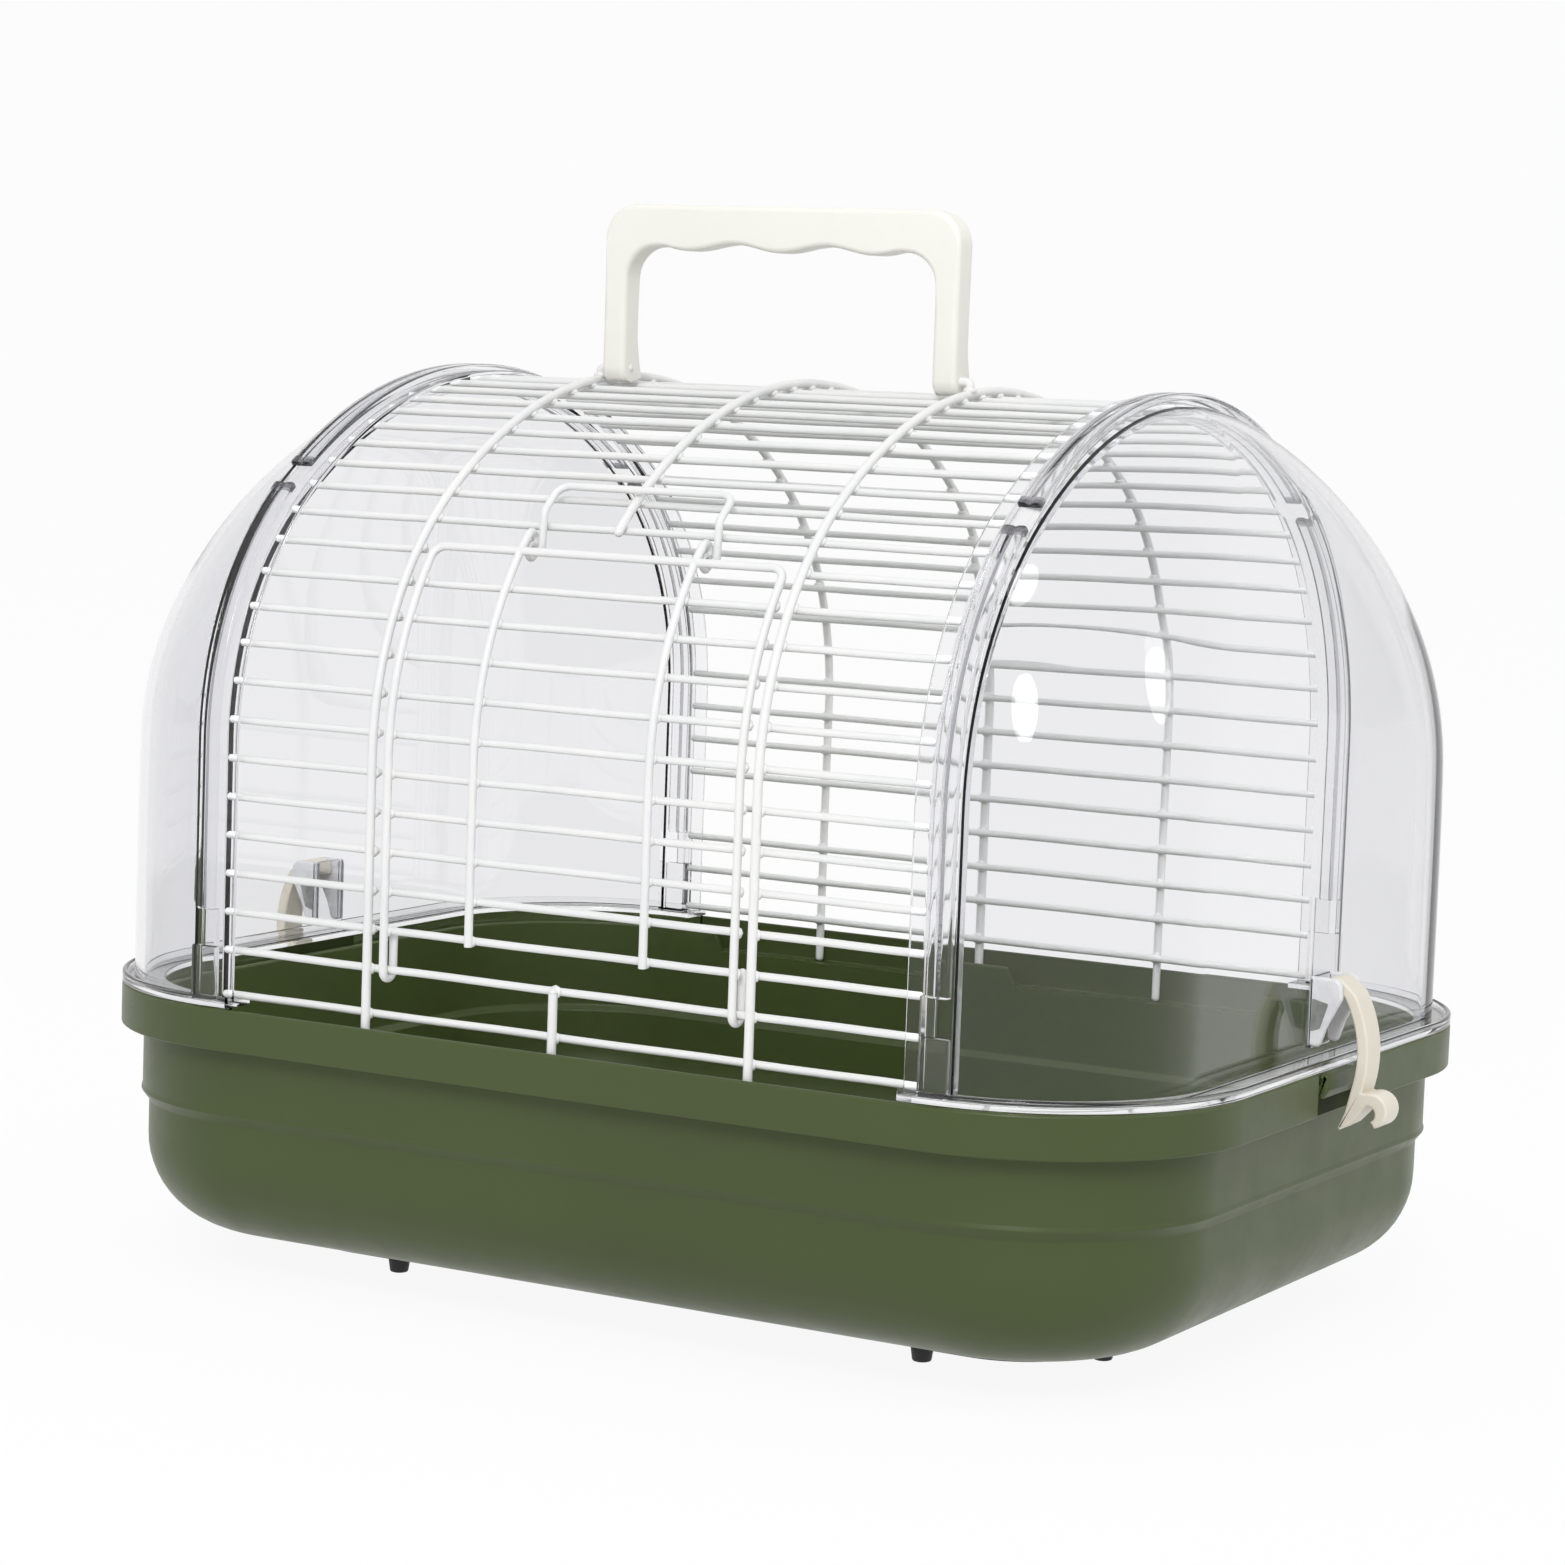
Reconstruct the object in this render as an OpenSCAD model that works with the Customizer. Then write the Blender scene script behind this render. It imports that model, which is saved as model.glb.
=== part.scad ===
// Bird travel carrier: a green tray, a wire vault between two clear end covers, a wire door,
// a folding carry handle and two end clips. Millimetres, +Z up, the feet stand on z = 0,
// X runs along the carrier, the door faces -Y.

/* [Tray] */
// Overall length over the rim
tray_l = 326; // [300:1:360]
// Overall width over the rim
tray_w = 243; // [226:1:270]
// Outer corner radius of the rim
rim_r = 58.5; // [56:0.5:66]
// Height of the rim's top edge above the floor
rim_top = 76; // [70:0.5:90]
// Height of the skirt that hangs from the rim
skirt_h = 11; // [9:0.5:14]
// Thickness of the rim's outer lip
lip_t = 1.6; // [1.2:0.1:2]
// Inset of the tray's wall behind the skirt
wall_inset = 6; // [5.5:0.1:7]
// Thickness of the tray's wall and floor
wall_t = 2.5; // [2:0.1:3]
// Height of the step line on the outer wall
step_z = 45; // [40:0.5:50]
// Depth of the step below the step line
step_d = 1.8; // [1:0.1:2]
// Height of the tray's underside above the floor
floor_z = 10; // [9:0.5:12]
// Radius of the rounding between wall and underside
belly_r = 25; // [18:1:30]
// Depth of the channel behind the lip
channel_depth = 9.5; // [8:0.5:10.5]
// Height of the inner wall above the channel floor
inner_wall_h = 6; // [3:0.5:7]
// Thickness of the inner wall
inner_wall_t = 2; // [1.5:0.1:2.4]
// Half length of the raised tab in the middle of each long side
tab_half = 12; // [6:1:20]
// Distance of the lowered stretches' outer ends from the end of the rim
low_in = 73; // [68:1:80]

/* [Feet] */
// Height of the corner strips under the tray
strip_h = 6.5; // [5:0.5:8]
// Width of the corner strips
strip_w = 6; // [5:0.5:8]
// Radius of the strip's bend, at its middle
strip_r = 22; // [16:1:26]
// Distance of the strip's front run from the side of the rim
strip_side_in = 55; // [52:0.5:60]
// Distance of the strip's end run from the end of the rim
strip_end_in = 47; // [42:0.5:60]
// Length of the strip's straight front run
strip_run = 14; // [8:1:16]
// Length of the strip's straight end run
strip_end_run = 8; // [4:1:12]
// Diameter of a peg at its top
peg_d = 6; // [4.5:0.1:7]
// Diameter of a peg at its bottom
peg_tip_d = 5; // [3:0.1:6]

/* [Wire vault] */
// Diameter of the straight wires
wire_d = 2; // [1.6:0.1:2.4]
// Diameter of the three hoops
hoop_d = 2.4; // [2:0.1:2.8]
// Height of the lowest wire above the rim
first_wire_up = 3.5; // [3.4:0.1:5]
// Rise from the lowest wire to the hinge wire
hinge_rise = 11.6; // [10:0.1:13]
// Straight height of the sides above the lowest wire
side_h = 65.7; // [55:0.5:75]
// Radius of the shoulders
shoulder_r = 84; // [76:0.5:90]
// Height of the vault above the lowest wire
vault_h = 160.8; // [150:0.5:170]
// Distance from the door's frame to each side hoop
hoop_out = 5; // [3.5:0.1:8]
// Distance from the ends of the wires to the end of the rim
end_len = 60; // [58:0.5:62]
// Spacing of the straight wires along the arch
wire_pitch = 10; // [9.5:0.1:11]
// Overhang of a wire past the hoop it is welded to
weld_end = 1.5; // [1:0.1:2]

/* [Door] */
// Diameter of the door's frame wire
frame_d = 2.2; // [2:0.1:2.4]
// Half width of the door, to the middle of its frame wire
door_half = 51.5; // [46:0.5:52]
// Bend radius of the door's upper corners
door_bend = 5; // [3:0.5:10]
// Distance of each upright from the middle
upright_x = 25.7; // [20:0.1:30]
// Height of the door along the arch
door_len = 110; // [100:1:120]
// Clearance round a hinge wire or pin
pin_gap = 0.1; // [0.05:0.01:0.1]
// Length of the hinge loops' inner arms
loop_arm = 11; // [8:0.5:14]
// Diameter of the latch's wire
latch_d = 2; // [1.6:0.1:2.2]
// Diameter of the wire of the latch's eyes
eye_wire = 1.6; // [1.2:0.1:2]
// Bend radius of the latch's corners
latch_bend = 6; // [4:0.5:8]

/* [End covers] */
// Thickness of the clear shells
shell_t = 1.8; // [1.2:0.1:2.4]
// Distance of the shell's end from the end of the rim
shell_in = 8; // [7.5:0.1:9]
// Corner radius of the shell at its foot
shell_corner_r = 46; // [44:1:50]
// Straight height of the shell's end above the lowest wire
shell_side_h = 65; // [55:1:95]
// Width of the arched end frame
end_frame_w = 8.5; // [7:0.5:10]
// Width of the flap over the ends of the wires
flap_w = 4; // [3:0.5:6]
// Thickness of the flap
flap_t = 1.2; // [1:0.1:1.6]
// Thickness of the end frame inside the wires
inner_frame_t = 2; // [1.5:0.1:3]
// Thickness of the clamp strips on the end frame
clamp_t = 1.6; // [1.2:0.1:2.2]
// Thickness of the base flange on the tray's lip
flange_t = 1.5; // [1.2:0.1:2]
// Clearance between the top and the tray
seat_gap = 0.3; // [0.2:0.05:0.4]
// Length of the gap between two clamp strips
clamp_gap = 8; // [4:0.5:10]
// Distance along the arch from the hinge wire to the middle of the gap
clamp_break = 131; // [120:1:136]

/* [End clips] */
// Height of the clip's pin above the lowest wire
clip_pin_z = 16.5; // [15:0.5:18]
// Distance of the clip's pin from the shell
clip_pin_out = 5.8; // [5:0.1:7]
// Diameter of the clip's pin
clip_pin_d = 2.2; // [1.8:0.1:2.6]
// Width of the clip
clip_w = 9; // [7:0.5:11]
// Thickness of the clip's arm
clip_t = 3.1; // [2.6:0.1:3.4]
// Thickness of a bracket's ear
ear_t = 2.2; // [1.8:0.1:2.6]
// Half width of the catch pocket in the tray's skirt
catch_half = 17; // [10:1:24]
// Depth of the catch pocket
catch_depth = 2; // [1.7:0.1:2.4]
// Thickness of the plate behind the pocket
catch_t = 1.6; // [1.2:0.1:2]
// Drop of the plate below the skirt
catch_drop = 3.5; // [2:0.5:5]

/* [Handle] */
// Distance of the handle in front of the middle
handle_y = 16; // [12:0.5:18]
// Distance of each leg inside its side hoop
leg_in = 6.1; // [5.8:0.1:8]
// Width of a leg
leg_w = 7; // [6:0.1:8]
// Depth of the legs, front to back
leg_t = 8; // [7:0.1:9]
// Height of the handle above its pin
grip_rise = 44; // [40:0.5:52]
// Thickness of the grip at its finger grooves
grip_t = 9.8; // [8:0.1:12]
// Depth of the finger grooves
wave_d = 2.4; // [1:0.1:3]
// Spacing of the finger grooves
wave_pitch = 24.5; // [22:0.5:26]
// Outer corner radius of the handle
handle_r = 9; // [7:0.5:12]
// Diameter of the handle's pins
handle_pin_d = 2.4; // [2:0.1:2.8]
// Clearance between the handle's feet and the wires
foot_gap = 0.4; // [0.3:0.05:1]

/* [Hidden] */

green = [0.345, 0.388, 0.275];
black = [0.06, 0.06, 0.06];
wire_white = [0.93, 0.93, 0.92];
clear = [0.82, 0.84, 0.88, 0.35];
cream = [0.92, 0.91, 0.86];

// Corner centres of the tray's plan, shared by rim, wall, channel and flanges
corner_x = tray_l / 2 - rim_r;
corner_y = tray_w / 2 - rim_r;
wall_r = rim_r - wall_inset;
lower_r = wall_r - step_d;
channel_z = rim_top - channel_depth;
channel_t = 1.5;
lip_r = rim_r - lip_t;
inner_wall_in = 0.5;
inner_wall_r = wall_r - inner_wall_in;
low_half = tray_l / 2 - low_in;
strip_x = tray_l / 2 - strip_end_in;
strip_y = tray_w / 2 - strip_side_in;
// Cuts reach this far past what they cut
past = 1;

// Arch of the straight wires: legs, shoulders of shoulder_r and a flatter crown of crown_r
wire_z = rim_top + first_wire_up;
hoop_y = corner_y + lip_r - seat_gap - hoop_d / 2;
hoop_off = (wire_d + hoop_d) / 2;
leg_y = hoop_y - hoop_off;
shoulder_y = leg_y - shoulder_r;
shoulder_z = wire_z + side_h;
top_z = wire_z + vault_h;
crown_drop = top_z - shoulder_z;
crown_r = (pow(crown_drop, 2) + pow(shoulder_y, 2) - pow(shoulder_r, 2))
    / (2 * (crown_drop - shoulder_r));
crown_z = top_z - crown_r;
crown_a = atan2(shoulder_y, shoulder_z - crown_z);
hinge_z = wire_z + hinge_rise;
leg_len = shoulder_z - hinge_z;
shoulder_len = shoulder_r * (90 - crown_a) * PI / 180;
// Distance along the arch at which the shoulder passes into the crown
bend_end = leg_len + shoulder_len;
half_len = bend_end + crown_r * crown_a * PI / 180;
wire_steps = round(half_len / wire_pitch);
pitch = half_len / wire_steps;
door_top_step = round(door_len / pitch);
hoop_bottom = channel_z + seat_gap;

// Point on the front half of the arch, s along it from the hinge wire, off outside the wires
function front_point(s, off) =
    s < leg_len ? [-(leg_y + off), hinge_z + s] :
    s < bend_end ?
        let (a = (s - leg_len) / shoulder_r * 180 / PI)
        [-(shoulder_y + (shoulder_r + off) * cos(a)), shoulder_z + (shoulder_r + off) * sin(a)] :
        let (b = crown_a - (s - bend_end) / crown_r * 180 / PI)
        [-(crown_r + off) * sin(b), crown_z + (crown_r + off) * cos(b)];
function arch_point(s, off = 0) =
    s <= half_len ? front_point(s, off) :
    let (p = front_point(2 * half_len - s, off)) [-p[0], p[1]];
function level(i, off = 0) = arch_point(i * pitch, off);
// Lean of the arch at s, and a step [outward, upward] along it turned to y and z
function arch_angle(s) =
    s < leg_len ? 0 :
    s < bend_end ? (s - leg_len) / shoulder_r * 180 / PI :
    90 - crown_a + (s - bend_end) / crown_r * 180 / PI;
function turned(v, a) = [-v[0] * cos(a) + v[1] * sin(a), v[0] * sin(a) + v[1] * cos(a)];
function arch_half(z, off) =
    z < shoulder_z ? leg_y + off :
    z < crown_z + (crown_r + off) * cos(crown_a) ?
        shoulder_y + sqrt(max(0, pow(shoulder_r + off, 2) - pow(z - shoulder_z, 2))) :
        sqrt(max(0, pow(crown_r + off, 2) - pow(z - crown_z, 2)));

// Places along X, and layers of the end frames outside the straight wires
hoop_x = door_half + hoop_out;
leg_x = hoop_x - leg_in;
wire_end_x = tray_l / 2 - end_len;
shell_reach = end_len - shell_in;
shell_x = wire_end_x + shell_reach;
flap_x = wire_end_x - flap_w;
flap_gap = 0.1;
flap_off = wire_d / 2 + flap_gap;
shell_step = 0.4;
shell_off = flap_off + flap_t - shell_step;
clamp_off = flap_off + flap_t;
flange_z = rim_top + seat_gap;
flange_top = flange_z + flange_t;

// Hinge, latch and door
loop_r = wire_d / 2 + pin_gap + frame_d / 2;
rail_off = loop_r - (frame_d + wire_d) / 2;
door_top_s = door_top_step * pitch;
eye_bore = latch_d / 2 + pin_gap;
eye_r = eye_bore + eye_wire / 2;
// The wire above the door, and how far over it the middle hoop starts
hook_s = door_top_s + pitch;
hook_over = 3.5;
hinge_pt = [-leg_y, hinge_z];
// The uprights curl inward just under the wire above the door and end in eyes
curl_r = 2;
curl_drop = 5.1;
curl_s = hook_s - curl_drop;
curl_a = arch_angle(curl_s);
curl_pt = arch_point(curl_s, loop_r - curl_r);
eye_pt = curl_pt + turned([-curl_r, -eye_r], curl_a);
// Each leg of the latch leaves its eye through a small bend, runs straight out and turns up at a knee
latch_play = 1;
latch_side = (frame_d + latch_d) / 2 + latch_play;
latch_off = hoop_off + (hoop_d + latch_d) / 2 + seat_gap;
latch_s = hook_s + pitch;
eye_bend = 1.4;
knee_r = 3;
knee_over = 2;
knee_s = hook_s + knee_over;
knee_pt = arch_point(knee_s, latch_off - knee_r);
leg_run = sqrt(pow(norm(knee_pt - eye_pt), 2) - pow(knee_r, 2));
leg_a = atan2(knee_pt[1] - eye_pt[1], knee_pt[0] - eye_pt[0]) + atan2(knee_r, leg_run);
leg_dir = [cos(leg_a), sin(leg_a)];

// Handle
handle_pin_z = crown_z + sqrt(pow(crown_r + wire_d / 2, 2) - pow(handle_y, 2)) + leg_t / 2 + foot_gap;
grip_z = handle_pin_z + grip_rise;

// End clips
clip_x = shell_x + clip_pin_out;
clip_z = wire_z + clip_pin_z;
ear_y = clip_w / 2 + seat_gap + ear_t;
skirt_z = rim_top - skirt_h;
catch_z = skirt_z - catch_drop;
// The catch's plate sinks this far into the lip, and the cut of the low stretches clears the inner wall
catch_sink = 0.2;
low_play = 0.2;
rib_drop = 4;
rib_t = 1.2;
catch_top = flange_z - rib_drop - seat_gap;

// Draws a plane figure, its x along +Y and its y along +Z, at the given X
module on_yz(x) {
    translate([x, 0, 0]) rotate([90, 0, 90]) children();
}

// Sweeps a section, r outward and z up, round the whole plan of the tray
module round_the_plan() {
    for (sx = [0, 1], sy = [0, 1])
        mirror([sx, 0, 0]) mirror([0, sy, 0]) quarter_plan() children();
}

module quarter_plan() {
    translate([corner_x, corner_y, 0]) rotate_extrude(angle = 90, $fn = 96) children();
    translate([0, corner_y, 0]) rotate([90, 0, 90]) linear_extrude(corner_x) children();
    translate([corner_x, 0, 0]) rotate([90, 0, 0]) mirror([0, 0, 1]) linear_extrude(corner_y) children();
}

// Straight round bar between two points
module bar(a, b, d) {
    v = b - a;
    translate(a)
        rotate([0, acos(v[2] / norm(v)), atan2(v[1], v[0])])
            cylinder(d = d, h = norm(v), $fn = 32);
}

// Stretches of a wire end just short of each other inside a knuckle a little thicker than the wire
knuckle = 0.2;
joint_gap = 0.1;

module ball(p, d) {
    translate(p) sphere(d = d, $fn = 32);
}

function at_x(x, p) = [x, p[0], p[1]];
function arc_points(c, r, a0, a1, n = 10) =
    [for (i = [0:n]) let (a = a0 + (a1 - a0) * i / n) c + r * [cos(a), sin(a)]];

// Bent part of a round wire: an arc in the YZ plane about c, from angle a0 to a1
module arc_wire(x, c, r, a0, a1, d) {
    trim = joint_gap / r * 180 / PI;
    on_yz(x) translate(c) rotate(a0 + trim) rotate_extrude(angle = a1 - a0 - 2 * trim, $fn = 96)
        translate([r, 0]) circle(d = d, $fn = 24);
}

// Quarter bend about p of a wire that comes along direction a in the YZ plane and turns to -X
module corner_wire(p, a, r, d) {
    trim = joint_gap / r * 180 / PI;
    translate(p) rotate([a, 0, 0]) {
        rotate(trim) rotate_extrude(angle = 90 - 2 * trim, $fn = 96)
            translate([r, 0]) circle(d = d, $fn = 24);
        translate([r, 0, 0]) rotate([90, 0, 0]) ball([0, 0, 0], d + knuckle);
        translate([0, r, 0]) rotate([0, 90, 0]) ball([0, 0, 0], d + knuckle);
    }
}

// Bent stretch of a wire over the front half of the arch, on the shoulder and, past it, on the crown
module bent_wire(x, s0, s1, off, d) {
    crown_start = max(s0, bend_end);
    if (s0 < bend_end) arc_wire(x, [-shoulder_y, shoulder_z], shoulder_r + off,
        180 - arch_angle(min(s1, bend_end)), 180 - arch_angle(s0), d);
    if (s0 < bend_end && s1 > bend_end) ball(at_x(x, arch_point(bend_end, off)), d + knuckle);
    if (s1 > crown_start + 3 * joint_gap) arc_wire(x, [0, crown_z], crown_r + off,
        180 - arch_angle(s1), 180 - arch_angle(crown_start), d);
}

// Front leg and bent stretch of a wire over the arch, from height z0 to s1
module front_wire(x, z0, s1, off, d) {
    bar([x, -leg_y - off, z0], [x, -leg_y - off, shoulder_z], d);
    ball([x, -leg_y - off, shoulder_z], d + knuckle);
    bent_wire(x, leg_len, s1, off, d);
}

// Crown of a wire over the arch, from s0 on the front, or from the shoulder, to the back shoulder
module crown_wire(x, off, d, s0 = 0) {
    bend = arch_point(bend_end, off);
    arc_wire(x, [0, crown_z], crown_r + off, 90 - crown_a, 180 - arch_angle(max(s0, bend_end)), d);
    for (side = s0 < bend_end ? [-1, 1] : [-1]) ball([x, side * bend[0], bend[1]], d + knuckle);
}

// Long straight wires at the given levels
module wire_row(levels, x0, x1, off = 0, d = wire_d) {
    for (i = levels) translate(at_x(x0, level(i, off))) rotate([0, 90, 0])
        cylinder(d = d, h = x1 - x0, $fn = 32);
}

// Solid outline of the vault, off outside the straight wires, cut level at z0
module vault_outline(off, z0) {
    far_y = 2 * crown_r * sin(crown_a);
    far_z = crown_z + 2 * crown_r * cos(crown_a);
    intersection() {
        union() {
            translate([-(leg_y + off), z0]) square([2 * (leg_y + off), shoulder_z - z0]);
            for (side = [-1, 1])
                translate([side * shoulder_y, shoulder_z]) circle(shoulder_r + off, $fn = 180);
            intersection() {
                translate([0, crown_z]) circle(crown_r + off, $fn = 240);
                polygon([[0, crown_z], [-far_y, far_z], [-far_y, 2 * top_z], [far_y, 2 * top_z],
                         [far_y, far_z]]);
            }
        }
        translate([-tray_w, z0]) square([2 * tray_w, 2 * top_z]);
    }
}

module vault_band(off0, off1, z0) {
    difference() {
        vault_outline(off1, z0);
        vault_outline(off0, z0 - 1);
    }
}

// The tray's section, r outward from the corner centre and z up
module tray_section() {
    belly_z = floor_z + belly_r;
    translate([wall_r - wall_t, step_z]) square([wall_t, channel_z - step_z]);
    translate([lower_r - wall_t, step_z]) square([wall_r - lower_r + wall_t, wall_t]);
    translate([lower_r - wall_t, belly_z]) square([wall_t, step_z - belly_z]);
    intersection() {
        translate([lower_r - belly_r, belly_z]) difference() {
            circle(belly_r, $fn = 96);
            circle(belly_r - wall_t, $fn = 96);
        }
        translate([lower_r - belly_r, floor_z]) square(belly_r);
    }
    translate([0, floor_z]) square([lower_r - belly_r, wall_t]);
    translate([wall_r - wall_t, channel_z - channel_t]) square([rim_r - wall_r + wall_t, channel_t]);
    translate([lip_r, skirt_z]) square([lip_t, rim_top - skirt_z]);
    translate([inner_wall_r - inner_wall_t, channel_z - channel_t])
        square([inner_wall_t, inner_wall_h + channel_t]);
}

module tray() {
    color(green) difference() {
        union() {
            round_the_plan() tray_section();
            translate([-corner_x, -corner_y, floor_z]) cube([2 * corner_x, 2 * corner_y, wall_t]);
            for (sx = [0, 1]) mirror([sx, 0, 0])
                translate([tray_l / 2 - catch_depth - catch_t, -catch_half - catch_t, catch_z])
                    cube([catch_t + catch_sink, 2 * (catch_half + catch_t), catch_top - catch_z]);
        }
        for (sx = [0, 1]) mirror([sx, 0, 0])
            translate([tray_l / 2 - catch_depth, -catch_half, catch_z - past])
                cube([catch_depth + past, 2 * catch_half, catch_top - catch_z]);
        for (sx = [0, 1], sy = [0, 1]) mirror([sx, 0, 0]) mirror([0, sy, 0])
            translate([tab_half, corner_y + inner_wall_r - inner_wall_t - past, channel_z])
                cube([low_half - tab_half, inner_wall_t + past + low_play, inner_wall_h + past]);
    }
}

// Black strip round one corner of the underside, with a peg at each end
module foot_strip(mx, my) {
    bend_x = strip_x - strip_r;
    bend_y = strip_y - strip_r;
    strip_z = floor_z - strip_h;
    color(black) mirror([mx, 0, 0]) mirror([0, my, 0]) union() {
        translate([bend_x, bend_y, strip_z]) rotate_extrude(angle = 90, $fn = 96)
            translate([strip_r - strip_w / 2, 0]) square([strip_w, strip_h]);
        translate([bend_x - strip_run, strip_y - strip_w / 2, strip_z])
            cube([strip_run, strip_w, strip_h]);
        translate([strip_x - strip_w / 2, bend_y - strip_end_run, strip_z])
            cube([strip_w, strip_end_run, strip_h]);
        for (p = [[bend_x - strip_run, strip_y], [strip_x, bend_y - strip_end_run]]) translate(p) {
            translate([0, 0, strip_z]) cylinder(d = strip_w, h = strip_h, $fn = 48);
            cylinder(d1 = peg_tip_d, d2 = peg_d, h = strip_z, $fn = 48);
        }
    }
}

module hoop(x) {
    color(wire_white) union() {
        for (my = [0, 1]) mirror([0, my, 0])
            front_wire(x, hoop_bottom, bend_end, hoop_off, hoop_d);
        crown_wire(x, hoop_off, hoop_d);
    }
}

// The middle hoop stops just below the wire above the door
module hoop_middle() {
    start_s = hook_s - hook_over;
    color(wire_white) union() {
        bent_wire(0, start_s, bend_end, hoop_off, hoop_d);
        crown_wire(0, hoop_off, hoop_d, start_s);
        mirror([0, 1, 0]) front_wire(0, hoop_bottom, bend_end, hoop_off, hoop_d);
    }
}

module hoop_stub() {
    color(wire_white) bar([0, -hoop_y, hoop_bottom], [0, -hoop_y, hinge_z + wire_d / 2], hoop_d);
}

module lowest_wire(side) {
    translate([-wire_end_x, side * leg_y, wire_z]) rotate([0, 90, 0])
        cylinder(d = wire_d, h = 2 * wire_end_x, $fn = 32);
}

module base_wires_front() {
    color(wire_white) {
        lowest_wire(-1);
        wire_row([0], -wire_end_x, wire_end_x);
    }
}

module side_wires_front(side) {
    inner_x = hoop_x - weld_end;
    color(wire_white)
        wire_row([1:door_top_step], side < 0 ? -wire_end_x : inner_x, side < 0 ? -inner_x : wire_end_x);
}

module full_wires(first, last) {
    color(wire_white) wire_row([first:last], -wire_end_x, wire_end_x);
}

module side_wires_back() {
    full_wires(2 * wire_steps - door_top_step, 2 * wire_steps);
    color(wire_white) lowest_wire(1);
}

// Clear arch that holds the ends of the wires, with a thin flap over them
module end_frame(mx) {
    color(clear) mirror([mx, 0, 0]) union() {
        on_yz(wire_end_x) linear_extrude(end_frame_w)
            vault_band(-wire_d / 2 - inner_frame_t, flap_off + flap_t, flange_top);
        on_yz(flap_x) linear_extrude(flap_w) vault_band(flap_off, flap_off + flap_t, flange_top);
    }
}

// The flange reaches in past the shell's wall, and its outer bead clears the clamp strips' feet
flange_in = 1;
bead_gap = 0.1;

module flange_section() {
    inner_r = shell_x - shell_t - flange_in - corner_x;
    bead_r = leg_y + clamp_off + clamp_t + bead_gap - corner_y;
    translate([inner_r, flange_z]) square([rim_r - inner_r, flange_t]);
    translate([bead_r, flange_z]) square([rim_r - bead_r, 2 * flange_t]);
    translate([lip_r - seat_gap - rib_t, flange_z - rib_drop]) square([rib_t, rib_drop]);
}

// Clear flange that rests on the tray's lip and reaches into its channel
module base_flange(mx) {
    color(clear) mirror([mx, 0, 0]) intersection() {
        round_the_plan() flange_section();
        translate([flap_x, -tray_w, 0]) cube([tray_l, 2 * tray_w, 2 * rim_top]);
    }
}

// The end shell is built from level slices: straight up to shell_side_h, then domed in to the arch
shell_levels = 5;
dome_levels = 13;
corner_steps = 11;
shell_foot = flange_top;
dome_z = wire_z + shell_side_h;
dome_lip = 0.6;
top_share = 0.97;
// The corners' share of the depth stays small low down and grows with this power of the height
share_power = 4;
function shell_reach_at(in) = shell_reach - in;
function shell_top_at(in) = top_z + shell_off - in;
function dome_a(k, in) = k * acos((end_frame_w + dome_lip) / shell_reach_at(in)) / dome_levels;
function slice_z(k, in) =
    k < shell_levels ? shell_foot + (dome_z - shell_foot) * k / shell_levels :
    dome_z + (shell_top_at(in) - dome_z) * sin(dome_a(k - shell_levels, in));
function slice_reach(k, in) =
    k < shell_levels ? shell_reach_at(in) : shell_reach_at(in) * cos(dome_a(k - shell_levels, in));
function corner_share(z) =
    let (low = shell_corner_r / (leg_y + shell_off), up = (z - wire_z) / vault_h)
    min(top_share, low + (1 - low) * pow(up, share_power));
function slice_point(k, j, in) =
    let (z = slice_z(k, in), reach = slice_reach(k, in), half = arch_half(z, shell_off - in),
         ry = half * corner_share(z), rx = min(shell_corner_r, reach),
         a_end = acos(max(-1, (end_frame_w - reach + rx) / rx)),
         a = a_end * (j <= corner_steps ? 1 - j / corner_steps : (j - corner_steps - 1) / corner_steps),
         side = j <= corner_steps ? -1 : 1)
    [wire_end_x + reach - rx + rx * cos(a), side * (half - ry + ry * sin(a)), z];

module shell(mx) {
    n = 2 * corner_steps + 2;
    rows = shell_levels + dome_levels + 1;
    skin = n * rows;
    points = [for (in = [0, shell_t], k = [0:rows - 1], j = [0:n - 1]) slice_point(k, j, in)];
    outer = [for (k = [0:rows - 2], j = [0:n - 2])
        [k * n + j, (k + 1) * n + j, (k + 1) * n + j + 1, k * n + j + 1]];
    inner = [for (q = outer) [q[3] + skin, q[2] + skin, q[1] + skin, q[0] + skin]];
    foot = [for (j = [0:n - 2]) [j, j + 1, j + 1 + skin, j + skin]];
    head = [for (j = [0:n - 2]) let (b = (rows - 1) * n + j) [b + 1, b, b + skin, b + 1 + skin]];
    near = [for (k = [0:rows - 2]) let (b = k * n) [b + n, b, b + skin, b + n + skin]];
    far = [for (k = [0:rows - 2]) let (b = k * n + n - 1) [b, b + n, b + n + skin, b + skin]];
    color(clear) mirror([mx, 0, 0])
        polyhedron(points, concat(outer, inner, foot, head, near, far), convexity = 6);
}

// Half plane on the lower side of the arch's normal at s, on the front
module below(s) {
    translate(arch_point(s)) rotate(180 - arch_angle(s))
        translate([-tray_w, 0]) square([2 * tray_w, tray_w]);
}

// Places of a clamp strip: its ridge, the neck below it and the block at its foot
ridge_in = 1.5;
ridge_x = wire_end_x + ridge_in;
ridge_w = end_frame_w - 2;
ridge_up = 22;
ridge_z = wire_z + ridge_up;
neck_up = 12.5;
neck_z = wire_z + neck_up;
neck_w = ridge_w / 2 + 1;
block_in = 0.3;
block_w = end_frame_w - 0.5;

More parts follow.
